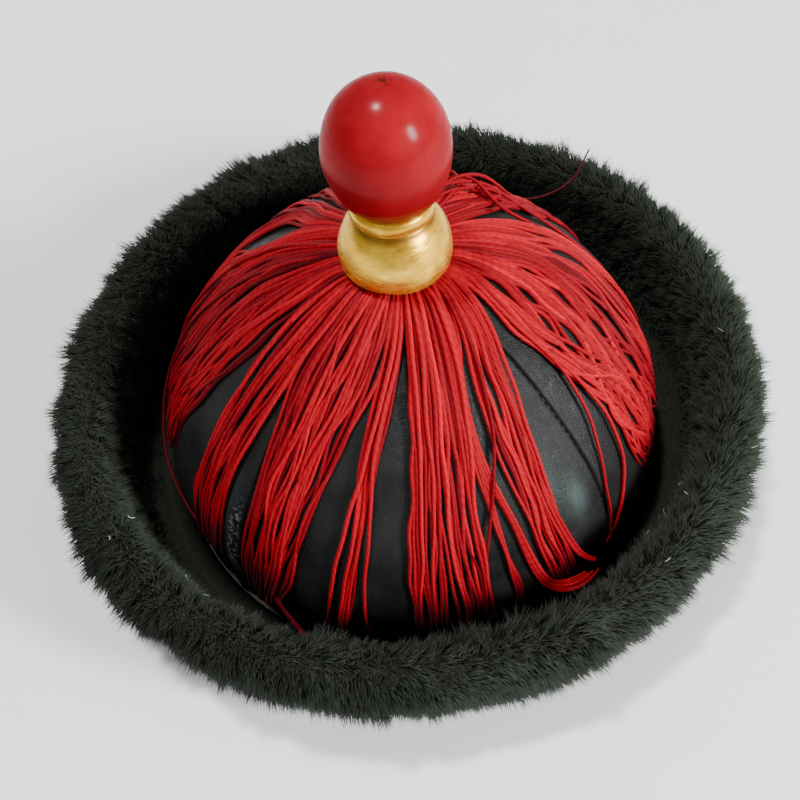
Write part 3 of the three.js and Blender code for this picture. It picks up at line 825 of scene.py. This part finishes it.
# Leaf-shaped partings between the cords: azimuth and height of both ends, and half width
partings = {"back": ((224.6, 0.1018, 243.2, 0.0830, 0.0064),), "right": (
    (74.4, 0.1088, 69.6, 0.1041, 0.0015),
    (76.6, 0.1038, 70.2, 0.0984, 0.0020),
    (67.6, 0.0998, 65.5, 0.0932, 0.0017),
    (84.1, 0.0972, 79.9, 0.0909, 0.0018),
    (79.5, 0.0879, 76.9, 0.0754, 0.0020),
    (90.3, 0.1036, 86.2, 0.0989, 0.0012),
    (90.6, 0.0876, 90.3, 0.0793, 0.0014),
    (76.2, 0.0753, 79.2, 0.0563, 0.0017),
    (86.5, 0.0670, 82.5, 0.0548, 0.0014),
    (64.8, 0.0919, 64.3, 0.0832, 0.0012),
    (108.8, 0.1071, 104.2, 0.1043, 0.0011),
    (72.0, 0.0700, 71.0, 0.0580, 0.0012),
)}
leftLocks = (
    ("left a", 21, (-84, -84, -84, -83, -81.5, -81, -81, -81), (13, 13.5, 12.5, 10.5, 7.5, 5.6, 4.4, 4), 0.040),
    ("left b", 20, (-105, -107, -108, -103.5, -96.5, -96, -94, -92), (9, 11, 11, 11, 9, 7, 5.5, 5), 0.041),
    ("single c", 1, (-112, -114, -116, -113, -110, -108, -106, -104), 0, 0.022),
    ("single d", 2, (-118, -120, -121, -119, -117, -115, -114, -112), (2, 2, 2, 1.5, 1, 1, 1, 1), 0.040),
)
backLocks = (
    ("back a", 11, (150, 146, 140, 136, 135, 135, 136, 136), (8, 8, 8, 7, 6, 5, 4.5, 4.5), 0.036),
    ("back b", 10, (161, 158, 155, 153, 151, 150, 150, 150), (7, 7, 6, 6, 5, 5, 5, 5), 0.034),
    ("back c", 11, (174, 172, 170, 168, 166, 165, 165, 165), (7, 7, 6, 6, 6, 5.5, 5, 5), 0.033),
    ("back d", 11, (188, 187, 186, 185, 183, 182, 181, 181), (7, 7, 7, 6, 6, 6, 5, 5), 0.034),
    ("back e", 10, (202, 202, 202, 201, 200, 199, 199, 199), (7, 7, 6, 6, 6, 5, 5, 5), 0.037),
    ("back f", 9, (215, 216, 216, 214, 213, 213, 213, 213), (6, 6, 5, 5, 5, 5, 4, 4), 0.040),
    ("edge", 2, (222, 221, 221, 223, 228, 233, 237, 239), (1, 1, 1, 1, 1, 1, 1, 1), 0.042),
    ("back g", 8, (228, 234, 240, 245, 248, 249, 249, 249), (7, 6, 4, 4, 4, 4, 4, 4), 0.042),
    ("back h", 11, (220, 222, 227, 231, 235, 238, 240, 240), (9, 9, 8, 7, 5.5, 5, 5, 5), 0.042),
)

# Cords that leave the crown: azimuth, radius and height of the points along each
looseCords = (
    ("curl a", ((168, 0.018, 0.1150), (160, 0.031, 0.1120), (151, 0.044, 0.1075), (142, 0.055, 0.1010),
        (132, 0.058, 0.0950), (122, 0.064, 0.0880), (113, 0.073, 0.0785), (108, 0.081, 0.0675))),
    ("curl b", ((150, 0.018, 0.1145), (153, 0.033, 0.1110), (151, 0.048, 0.1065), (144, 0.058, 0.1015),
        (136, 0.060, 0.0950), (139, 0.066, 0.0865), (137, 0.075, 0.0760), (131, 0.084, 0.0625))),
    ("curl c", ((172, 0.018, 0.1145), (164, 0.036, 0.1110), (153, 0.050, 0.1035), (146, 0.053, 0.1040),
        (139, 0.050, 0.1040), (128, 0.049, 0.1000), (118, 0.056, 0.0945), (110, 0.067, 0.0845))),
    ("curl d", ((142, 0.018, 0.1145), (146, 0.034, 0.1095), (149, 0.050, 0.1020), (156, 0.060, 0.0965),
        (163, 0.058, 0.0975), (158, 0.049, 0.1035), (146, 0.047, 0.1035), (133, 0.055, 0.0965),
        (123, 0.068, 0.0845))),
    ("curl e", ((158, 0.020, 0.1140), (150, 0.040, 0.1075), (141, 0.054, 0.1000), (135, 0.0575, 0.0965),
        (131, 0.052, 0.1000), (136, 0.047, 0.1030), (143, 0.051, 0.1010), (140, 0.060, 0.0925), (130, 0.067, 0.0860),
        (124, 0.078, 0.0725))),
    ("left edge", ((-104, 0.030, 0.1100), (-103, 0.055, 0.0975), (-101, 0.078, 0.0755), (-97, 0.0890, 0.0590),
        (-90, 0.0945, 0.0470), (-80, 0.0975, 0.0380), (-70, 0.0970, 0.0320), (-62, 0.0955, 0.0285),
        (-57, 0.0952, 0.0250))),
)
strayThread = (
    (126, 0.042, 0.1055), (131, 0.050, 0.1000), (134.5, 0.058, 0.0935), (138.0, 0.068, 0.0830),
    (138.2, 0.0755, 0.0755), (136.5, 0.0847, 0.0700), (135.3, 0.0962, 0.0660), (135.7, 0.1085, 0.0625),
    (137.7, 0.1229, 0.0610), (138.0, 0.1270, 0.0615),
)
# Small bundles whose ends are flicked out onto the plush: number of cords, their shade and
# thickness, then azimuth, radius, height and half width of the points along each
sweptBundles = (
    (6, 0.60, 0.95, ((40, 0.016, 0.1152, 0.0006), (28, 0.032, 0.1098, 0.0010), (18.5, 0.052, 0.0978, 0.0011),
        (17.6, 0.0645, 0.0872, 0.0010), (19.0, 0.0735, 0.0785, 0.0010), (20.9, 0.0822, 0.0685, 0.0010),
        (22.8, 0.0915, 0.0500, 0.0012), (25.2, 0.0955, 0.0360, 0.0016), (28.2, 0.0978, 0.0300, 0.0022),
        (30.6, 0.1002, 0.0310, 0.0028), (32.6, 0.1018, 0.0345, 0.0024), (34.8, 0.1018, 0.0380, 0.0014),
        (36.4, 0.1018, 0.0402, 0.0004))),
    (4, 0.50, 0.85, ((56, 0.016, 0.1152, 0.0004), (46, 0.032, 0.1098, 0.0008), (36.5, 0.050, 0.0995, 0.0008),
        (33.0, 0.063, 0.0890, 0.0008), (31.2, 0.0755, 0.0762, 0.0008), (30.6, 0.0845, 0.0650, 0.0008),
        (32.2, 0.0925, 0.0500, 0.0009), (33.8, 0.0958, 0.0410, 0.0009), (35.2, 0.0985, 0.0390, 0.0007),
        (36.3, 0.1018, 0.0402, 0.0002))),
    (2, 0.04, 0.70, ((-35, 0.0955, 0.0300, 0.0003), (-33, 0.0982, 0.0325, 0.0005), (-30.3, 0.1010, 0.0350, 0.0006),
        (-27, 0.1040, 0.0375, 0.0006), (-24.2, 0.1070, 0.0400, 0.0005), (-21.4, 0.1088, 0.0425, 0.0002))),
)


def stationArcs():
    p = fringePiece
    radii = [arcAtRadius(r) for r in p["stations"][:p["radii"]]]
    return np.array(radii + [arcAtHeight(z) for z in p["stations"][p["radii"]:]])


def slowWave(rng, along, size, waves):
    # A gentle wandering of a cord, in the same unit as size
    total = np.zeros_like(along)
    for k in range(1, 4):
        total += rng.normal(0, 1 / k) * np.sin(2 * math.pi * (waves * k * along + rng.random()))
    return size * total


def cordPath(lock, end, count):
    # Middle, half width and distance down the crown along a lock, by equal steps of length
    arcs = stationArcs()
    middles = np.array(lock[2], float)
    halves = np.broadcast_to(lock[3], middles.shape)
    keep = arcs < end
    stop = (np.interp(end, arcs, middles), np.interp(end, arcs, halves), end)
    points = [(middles[0], halves[0], arcAtRadius(fringePiece["startRadius"]))]
    points += list(zip(middles[keep], halves[keep], arcs[keep])) + [stop]
    azimuth, half, arc = np.array(points).T
    radius = np.interp(arc, dome["arc"], dome["radius"])
    lengths = np.hypot(np.diff(arc), np.radians(np.diff(azimuth)) * 0.5 * (radius[1:] + radius[:-1]))
    return evenly(np.maximum(lengths, 1e-6), count, 40, azimuth, half, arc)


def paintedEndShade(name, height):
    # Painted shade: cords are darkened towards their cut ends, down in the trough
    p = fringePiece
    height = height + p["shadeLower"].get(name, 0)
    return 1 - p["endShade"] * (1 - smoothStep(height, p["shadeTo"], p["shadeFrom"]))


def bentAround(gaps, azimuth, arc):
    # Cords bend around each parting, and lie closer together beside it
    radius = np.interp(arc, dome["arc"], dome["radius"])
    for firstTurn, firstHeight, lastTurn, lastHeight, half in gaps:
        firstArc, lastArc = arcAtHeight(firstHeight), arcAtHeight(lastHeight)
        share = (arc - firstArc) / (lastArc - firstArc) * 2 - 1
        centre = firstTurn + (lastTurn - firstTurn) * (share + 1) / 2
        away = np.radians(azimuth - centre) * radius
        side = 1 if away[np.argmin(np.abs(share))] >= 0 else -1
        away = away * side
        reach = half * fringePiece["partingReach"]
        opening = half * np.cos(0.5 * math.pi * np.clip(share / fringePiece["partingEnds"], -1, 1)) ** 1.5
        pushed = opening + np.where(away > 0, away * (reach - opening) / reach, away)
        azimuth = np.where((away < reach) & (away > -reach), centre + np.degrees(side * pushed / radius), azimuth)
    return azimuth


def lockLines(rng, lock, side):
    p = fringePiece
    own = p["sides"][side]
    name, count, _, _, endHeight = lock
    count = count if count < 4 else round(count * own["fullness"])
    lines, shades, swells = [], [], []
    places = (np.arange(count) + 0.5) / count * 2 - 1
    lockTone = rng.uniform(-0.08, 0.08)
    bunches = 1 + int(count / p["bunch"])
    bunches = [(rng.random(), rng.random(), rng.normal(0, 1), rng.normal(0, 0.6)) for _ in range(bunches)]
    for k in range(count):
        end = arcAtHeight(max(0.006, endHeight + rng.normal(0, p["endScatter"]) + p["endBow"] * abs(places[k])))
        middle, half, arc = cordPath(lock, end, p["steps"] * 3)
        along = np.linspace(0, 1, len(arc))
        radius = np.interp(arc, dome["arc"], dome["radius"])
        early, late, large, small = bunches[int(k / p["bunch"])]
        drift = large * np.sin(2 * math.pi * (1.1 * along + early)) + small * np.sin(2 * math.pi * (2.2 * along + late))
        drift = np.clip(drift, -1.1, 1.1) * smoothStep(along, 0.16, 0.5)
        place = places[k] + rng.normal(0, 0.10) + own["weave"] * drift + slowWave(rng, along, own["crossing"], 1.1)
        wander = slowWave(rng, along, p["wobble"], 2.2) * smoothStep(along, 0.05, 0.4)
        azimuth = middle + np.clip(place, -1.2, 1.2) * half + np.degrees(0.001 * wander / np.maximum(radius, 0.012))
        azimuth = bentAround(partings.get(side, ()), azimuth, arc)
        # Where a lock is narrow its cords lie in layers
        crowd = count * 2 * p["cordRadius"] / np.maximum(2 * np.radians(half) * radius, 0.0016)
        layers = np.clip(crowd, 1, p["mostLayers"])
        depth = np.clip(rng.random() + slowWave(rng, along, 0.12, 1.6), 0, 1)
        lift = p["cordRadius"] + p["clear"] + (layers - 1) * p["layer"] * depth + 0.0004 * rng.random()
        lift = lift + 0.0006 * np.maximum(0, slowWave(rng, along, 0.4, 1.5)) * smoothStep(along, 0.3, 0.9)
        if count == 1:
            lift = lift + p["singleLift"] * (1 - smoothStep(along, 0.5, 0.9))
        height = np.interp(arc, dome["arc"], dome["height"])
        room = p["underBase"] - p["cordRadius"] - height + np.interp(radius, (0.017, 0.022), (0, 0.01))
        lift = np.clip(softened(np.minimum(lift, room), 12), p["cordRadius"] + 0.0001, p["mostLift"])
        line = onDome(arc, np.radians(azimuth), lift)[::3]
        # A cord's tone varies at random, and is painted darker as shade where it lies low among the layers
        tone = np.clip(0.5 + lockTone + rng.normal(0, 0.19) + 0.22 * (depth.mean() - 0.5), 0.05, 1)
        lines.append(line)
        shades.append(tone * own["tone"] * paintedEndShade(name, line[:, 2]))
        swells.append(np.interp(along[::3], *p["swell"]) * rng.uniform(0.88, 1.12))
    return lines, shades, swells


def bundleLines(rng, bundle):
    # Cords side by side in a flat bundle that follows free points
    count, tone, swell, points = bundle
    azimuth, radius, height, half = np.array(points).T
    corners = around(radius, np.radians(azimuth), height)
    *line, half = evenly(stepLengths(corners), 150, 40, *corners.T, half)
    line = np.stack(line, -1)
    side = np.cross(np.gradient(line, axis=0), fringePiece["towardsView"])
    side /= np.linalg.norm(side, axis=1)[:, None]
    along = np.linspace(0, 1, len(line))
    lines, shades, swells = [], [], []
    for k in range(count):
        place = (k + 0.5) / count * 2 - 1
        place = place + slowWave(rng, along, 0.16, 1.3) + rng.normal(0, 0.05)
        stop = len(line) - rng.integers(0, 7)
        own = line + side * (place * half)[:, None]
        own[:, 2] += 0.0003 * rng.random() + 0.0004 * slowWave(rng, along, 0.5, 1.2)
        own = own[:stop][::2]
        lines.append(own)
        shades.append(np.full(len(own), np.clip(tone + rng.normal(0, 0.10), 0.02, 1)))
        swells.append(swell * np.interp(np.linspace(0, 1, len(own)), (0, 0.3, 0.9, 1), (1.1, 1.0, 0.95, 0.5)))
    return lines, shades, swells


def makeCordTree():
    tree, start, end = newGeometryTree("cords along lines", {"Radius": 0.0007, "Sides": 7})
    line = addNode(tree, "GeometryNodeMeshToCurve", {"Mesh": start["Geometry"]}).outputs[0]
    line = storeValue(tree, line, "along", addNode(tree, "GeometryNodeSplineParameter").outputs["Length"])
    inputs = {"Resolution": start["Sides"], "Radius": start["Radius"]}
    ring = addNode(tree, "GeometryNodeCurvePrimitiveCircle", inputs, mode="RADIUS").outputs[0]
    where = addNode(tree, "GeometryNodeInputPosition").outputs[0]
    ring = storeValue(tree, ring, "turn", vector(tree, "NORMALIZE", where), kind="FLOAT_VECTOR")
    inputs = {"Curve": line, "Profile Curve": ring, "Scale": readValue(tree, "swell"), "Fill Caps": True}
    closeTree(tree, start, end, realize(tree, addNode(tree, "GeometryNodeCurveToMesh", inputs).outputs[0]))
    return tree


def makeCordFinish():
    # Two strands twisted together: painted shade darkens the valleys that wind round the cord
    material, tree, shader = newMaterial("red cord", {
        "Roughness": 0.55, "Specular IOR Level": 0.06,
        "Sheen Weight": 0.03, "Sheen Roughness": 0.4, "Sheen Tint": (1.0, 0.4, 0.45, 1)})
    turn = separate(tree, addNode(tree, "ShaderNodeAttribute", attribute_name="turn").outputs["Vector"])
    twice = calc(tree, "MULTIPLY", calc(tree, "ARCTAN2", turn[1], turn[0]), 2.0)
    winding = calc(tree, "MULTIPLY_ADD", readMask(tree, "along"), fringePiece["twist"], twice)
    ply = mapTo(tree, calc(tree, "COSINE", winding), 0.0, 1.0, -1.0, -0.1, smooth=True)
    tone = mixColours(tree, readMask(tree, "shade"), (0.055, 0.0010, 0.0032), (0.47, 0.0046, 0.0140))
    valleyShade = mixColours(tree, ply, (0.72, 0.6, 0.6), (1.0, 1.0, 1.0))
    height = calc(tree, "MULTIPLY_ADD", mottled(tree, 900.0, 0.3, 0.7), 0.25, ply)
    feed(tree, shader, {
        "Base Color": mixColours(tree, 0.6, tone, valleyShade, blend_type="MULTIPLY"),
        "Normal": addBump(tree, height, 0.25, 0.0002)})
    return material


def freeLine(points):
    azimuth, radius, height = np.array(points).T
    corners = around(radius, np.radians(azimuth), height)
    return np.stack(evenly(stepLengths(corners), 120, 50, *corners.T), -1)[::2]


def growCords(name, cords, radius, sides, finish):
    lines, shades, swells = cords
    base = addPiece(name + "Lines", polylineMesh(name + "Lines", lines, {"shade": shades, "swell": swells}))
    return growPiece(name, base, cordTree, {"Radius": radius, "Sides": sides, "Finish": finish})


def layCords(name, finish, cords, radius):
    piece = growCords(name, cords, radius, fringePiece["ringSides"], finish)
    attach(piece, "root")
    return piece


def makeFringe():
    p = fringePiece
    finish = makeCordFinish()
    groups = (("front", frontLocks), ("right", rightLocks), ("left", leftLocks), ("back", backLocks))
    for number, (side, locks) in enumerate(groups):
        rng = np.random.default_rng(40 + number)
        cords = [], [], []
        for lock in locks:
            for whole, some in zip(cords, lockLines(rng, lock, side)):
                whole.extend(some)
        piece = layCords("fringe_" + side, finish, cords, p["cordRadius"] * p["sides"][side]["thicker"])
        if side == "front":
            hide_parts("fringe")
    rng = np.random.default_rng(60)
    cords = [], [], []
    for name, points in looseCords:
        line = freeLine(points)
        shade, swell = p["looseLook"].get(name, (0.4, 0.95))
        for whole, own in zip(cords, (line, np.full(len(line), shade), np.full(len(line), swell))):
            whole.append(own)
    for bundle in sweptBundles:
        for whole, some in zip(cords, bundleLines(rng, bundle)):
            whole.extend(some)
    layCords("fringe_loose", finish, cords, p["cordRadius"])
    line = freeLine(strayThread)
    layCords("fringe_stray", finish, ([line], [np.zeros(len(line))], [np.ones(len(line))]), p["threadRadius"])


cordTree = makeCordTree()
makeFringe()
print("cords laid")


# Pale lint caught in the plush: azimuth, and place over the section of the plush

lintPiece = {
    "radius": 0.00009, "ringSides": 4, "length": (0.0012, 0.0030), "spots": (
        (44, 0.30), (46, 0.34), (47, 0.31), (49, 0.36), (52, 0.33), (54, 0.40), (57, 0.35), (61, 0.30), (41, 0.45),
        (66, 0.48), (-44, 0.30), (-47, 0.33), (-58, 0.44), (-61, 0.38), (-95, 0.52), (12, 0.55), (88, 0.42),
        (150, 0.45), (205, 0.50), (-20, 0.62)),
}


def makeLintFinish():
    material, tree, shader = newMaterial("lint", {"Base Color": (0.5, 0.5, 0.48, 1), "Roughness": 0.7})
    tone = mixColours(tree, readMask(tree, "shade"), (0.18, 0.18, 0.17), (0.62, 0.62, 0.60))
    feed(tree, shader, {"Base Color": tone})
    return material


def makeLint():
    p = lintPiece
    rng = np.random.default_rng(7)
    u = np.linspace(-0.5, 0.5, 7)[:, None]
    lines, shades, swells = [], [], []
    for azimuth, q in p["spots"]:
        section = plushSection(np.array([q]), 0.8 * np.interp(q, *plush["pile"]))
        middle = wearBrim(section[:, 0], np.radians([azimuth]), section[:, 1])[0]
        way = rng.normal(0, 1, 3)
        bend = rng.normal(0, 1, 3)
        reach = rng.uniform(*p["length"])
        line = u * way / np.linalg.norm(way) + (u**2 - 0.1) * 0.8 * bend / np.linalg.norm(bend)
        lines.append(middle + reach * line)
        shades.append(np.full(len(u), rng.uniform(0.3, 1)))
        swells.append(np.ones(len(u)))
    piece = growCords("lint", (lines, shades, swells), p["radius"], p["ringSides"], makeLintFinish())
    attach(piece, "root")


makeLint()
print("lint laid")


# Finial: gilt base, red ball, and the pin that carries them

finialPiece = {
    "floor": 0.1156, "ballCentre": 0.1627, "ballRadius": 0.0196, "ballHalf": 0.0235,
    # Radius, and height above the floor, up the outside of each
    "foot": ((0.0164, 0.0013), (0.0172, 0.0003), (0.0180, 0.0009), (0.0186, 0.0027), (0.0188, 0.0052),
             (0.0186, 0.0078), (0.0179, 0.0110), (0.0168, 0.0137), (0.0156, 0.0159), (0.0146, 0.0175),
             (0.0136, 0.0189), (0.0127, 0.0199), (0.0119, 0.0205), (0.0113, 0.0209)),
    "collar": ((0.0113, 0.0216), (0.0124, 0.0219), (0.0130, 0.0224), (0.0134, 0.0234), (0.01355, 0.0248),
               (0.0134, 0.0262), (0.0129, 0.0273), (0.0122, 0.0280), (0.0110, 0.0282)),
    "grooveHeight": 0.0208, "bore": 0.0025, "ballFrom": -1.30, "columns": 96, "unevenness": 0.00018, "dent": 0.00012,
    "chip": (0.0022, 0.0003, 0.1859), "lowerShade": (0.142, 0.176),
}


def makeLathe(name, profile, columns, bore):
    # A turned piece from its outer profile, bottom to top, hollow down the middle by the bore's radius
    height = profile[:, 1]
    loop = np.concatenate([[[bore, height[0]]], profile, [[bore, height[-1]]]])
    azimuth, height = allRound(columns), loop[None, :, 1]
    wobble = np.sin(azimuth * 3 + height * 260) + 0.6 * np.sin(azimuth * 5 - height * 480)
    wobble *= finialPiece["unevenness"]
    wobble[:, [0, -1]] = 0
    return addPiece(name, meshFromGrid(name, around(loop[None, :, 0] + wobble, azimuth, height), wrapRows=True))


def smoothProfile(points, count):
    points = np.array(points)
    return np.stack(evenly(stepLengths(points), count, 6, *points.T), -1)


def makeGilt():
    material, tree, shader = newMaterial("gold paint", {"Metallic": 0.85, "Specular IOR Level": 0.4})
    streaks = mottled(tree, 160.0, 0.35, 0.7, stretch=5.0)
    tone = mixColours(tree, mottled(tree, 120.0, 0.3, 0.7), (0.62, 0.31, 0.017), (0.98, 0.59, 0.048))
    tone = mixColours(tree, mottled(tree, 420.0, 0.72, 0.80), tone, (0.42, 0.20, 0.03))
    # Painted shade in the groove under the collar
    level = separate(tree, objectPlace(tree))[2]
    away = calc(tree, "ABSOLUTE", calc(tree, "SUBTRACT", level, finialPiece["floor"] + finialPiece["grooveHeight"]))
    tone = mixColours(tree, mapTo(tree, away, 0.8, 0.0, 0.0005, 0.0022, smooth=True), tone, (0.15, 0.06, 0.012))
    feed(tree, shader, {
        "Base Color": tone,
        "Roughness": mapTo(tree, streaks, 0.25, 0.40),
        "Normal": addBump(tree, streaks, 0.14, 0.0004)})
    return material


def makeRedPaint():
    material, tree, shader = newMaterial("red paint", {
        "Coat Weight": 0.20, "Coat Roughness": 0.21, "Coat IOR": 1.38, "Specular IOR Level": 0.015})
    where = objectPlace(tree)
    tone = mixColours(tree, mottled(tree, 70.0, 0.3, 0.7), (0.205, 0.0030, 0.0066), (0.275, 0.0056, 0.0100))
    # Painted shade: darker towards the bottom
    low = mapTo(tree, separate(tree, where)[2], 0.72, 0.0, *finialPiece["lowerShade"], smooth=True)
    tone = mixColours(tree, low, tone, (0.125, 0.0016, 0.0034))
    # A small chipped patch just behind the top
    inputs = {0: where, 1: finialPiece["chip"]}
    fromChip = addNode(tree, "ShaderNodeVectorMath", inputs, operation="DISTANCE").outputs["Value"]
    nearChip = mapTo(tree, fromChip, 1.0, 0.0, 0.0008, 0.0034, smooth=True)
    chipped = calc(tree, "MULTIPLY", nearChip, mottled(tree, 700.0, 0.50, 0.57))
    tone = mixColours(tree, chipped, tone, (0.045, 0.006, 0.004))
    inputs = {"Vector": where, "Scale": 95.0, "Distortion": 3.0, "Detail": 2.0, "Detail Scale": 0.6}
    rings = addNode(tree, "ShaderNodeTexWave", inputs, wave_type="BANDS", bands_direction="Z").outputs[1]
    fine = mottled(tree, 420.0, 0.3, 0.7)
    feed(tree, shader, {
        "Base Color": tone, "Roughness": mapTo(tree, fine, 0.34, 0.46),
        "Normal": addBump(tree, calc(tree, "MULTIPLY_ADD", fine, 0.35, rings), 0.16, 0.0004)})
    return material


def makePinSteel():
    material, tree, shader = newMaterial("pin steel", {"Base Color": (0.45, 0.45, 0.44, 1), "Metallic": 1.0})
    feed(tree, shader, {"Roughness": mapTo(tree, mottled(tree, 800.0, stretch=0.1), 0.3, 0.5)})
    return material


def makeFinial():
    p = finialPiece
    profile = np.concatenate([smoothProfile(p["foot"], 34), smoothProfile(p["collar"], 20)])
    profile[:, 1] += p["floor"]
    base = makeLathe("gilt_base", profile, p["columns"], p["bore"])
    base.data.materials.append(makeGilt())
    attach(base, "root")
    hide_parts("finial_base")
    angle = np.linspace(p["ballFrom"], math.pi / 2, 64)
    radius = p["ballRadius"] * np.cos(angle)[None, :]
    height = p["ballCentre"] + p["ballHalf"] * np.sin(angle)[None, :]
    radius[0, -1] = 0.00012
    azimuth = allRound(p["columns"])
    dent = p["dent"] * (np.sin(azimuth * 2 + height * 130) + 0.7 * np.sin(azimuth * 3 - height * 310))
    grid = around(radius + dent * np.minimum(1, radius / 0.006), azimuth, height)
    ball = addPiece("red_ball", meshFromGrid("red_ball", grid, closeEnds=True))
    ball.data.materials.append(makeRedPaint())
    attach(ball, "root")
    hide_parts("finial_ball")


makeFinial()
for piece in [o for o in bpy.data.objects if o.type == "MESH" and "finial_post" in o.name]:
    for place in piece.material_slots:
        place.material = makePinSteel()
print("finial made")


# Floor and lights

floorPiece = {
    "side": 14.0, "colour": (0.86, 0.86, 0.86), "darkest": (0.84, 0.84, 0.84), "palest": (0.88, 0.88, 0.875),
}


def makeFloor():
    p = floorPiece
    s = p["side"] / 2
    mesh = bpy.data.meshes.new("floor")
    mesh.from_pydata([(-s, -s, 0), (s, -s, 0), (s, s, 0), (-s, s, 0)], [], [(0, 1, 2, 3)])
    material, tree, shader = newMaterial("pale floor", {
        "Base Color": (*p["colour"], 1), "Roughness": 0.7, "Specular IOR Level": 0.2})
    feed(tree, shader, {"Base Color": mixColours(tree, mottled(tree, 3.0), p["darkest"], p["palest"])})
    floor = addPiece("floor", mesh)
    floor.data.materials.append(material)


# Each way points from the hat to the lamp
lamps = (
    {"name": "window", "way": (0.763, -0.457, 0.457), "far": 2.2, "side": 0.46, "tall": 0.80,
     "power": 98, "colour": (0.97, 0.99, 1.0)},
    {"name": "ceiling", "way": (-0.183, 0.043, 0.982), "far": 2.4, "side": 0.22, "tall": 0.22,
     "power": 64, "colour": (0.98, 0.985, 1.0)},
    {"name": "fill", "way": (-0.55, -0.45, 0.80), "far": 3.0, "side": 2.4, "tall": 2.4,
     "power": 4, "colour": (0.96, 0.98, 1.0)},
)


def makeLamps():
    middle = Vector((*hat["axis"], 0.09))
    for lamp in lamps:
        data = bpy.data.lights.new(lamp["name"], "AREA")
        data.shape = "ELLIPSE"
        data.size, data.size_y = lamp["side"], lamp["tall"]
        data.energy = lamp["power"]
        data.color = lamp["colour"]
        way = Vector(lamp["way"]).normalized()
        light = bpy.data.objects.new(lamp["name"], data)
        bpy.context.collection.objects.link(light)
        turn = way.to_track_quat("Z", "Y").to_matrix().to_4x4()
        light.matrix_world = Matrix.Translation(middle + way * lamp["far"]) @ turn
    world = bpy.data.worlds.new("soft room")
    world.use_nodes = True
    world.node_tree.nodes["Background"].inputs[0].default_value = (0.95, 0.97, 1.0, 1)
    world.node_tree.nodes["Background"].inputs[1].default_value = 0.45
    bpy.context.scene.world = world


makeFloor()
makeLamps()
print("floor and lights placed")
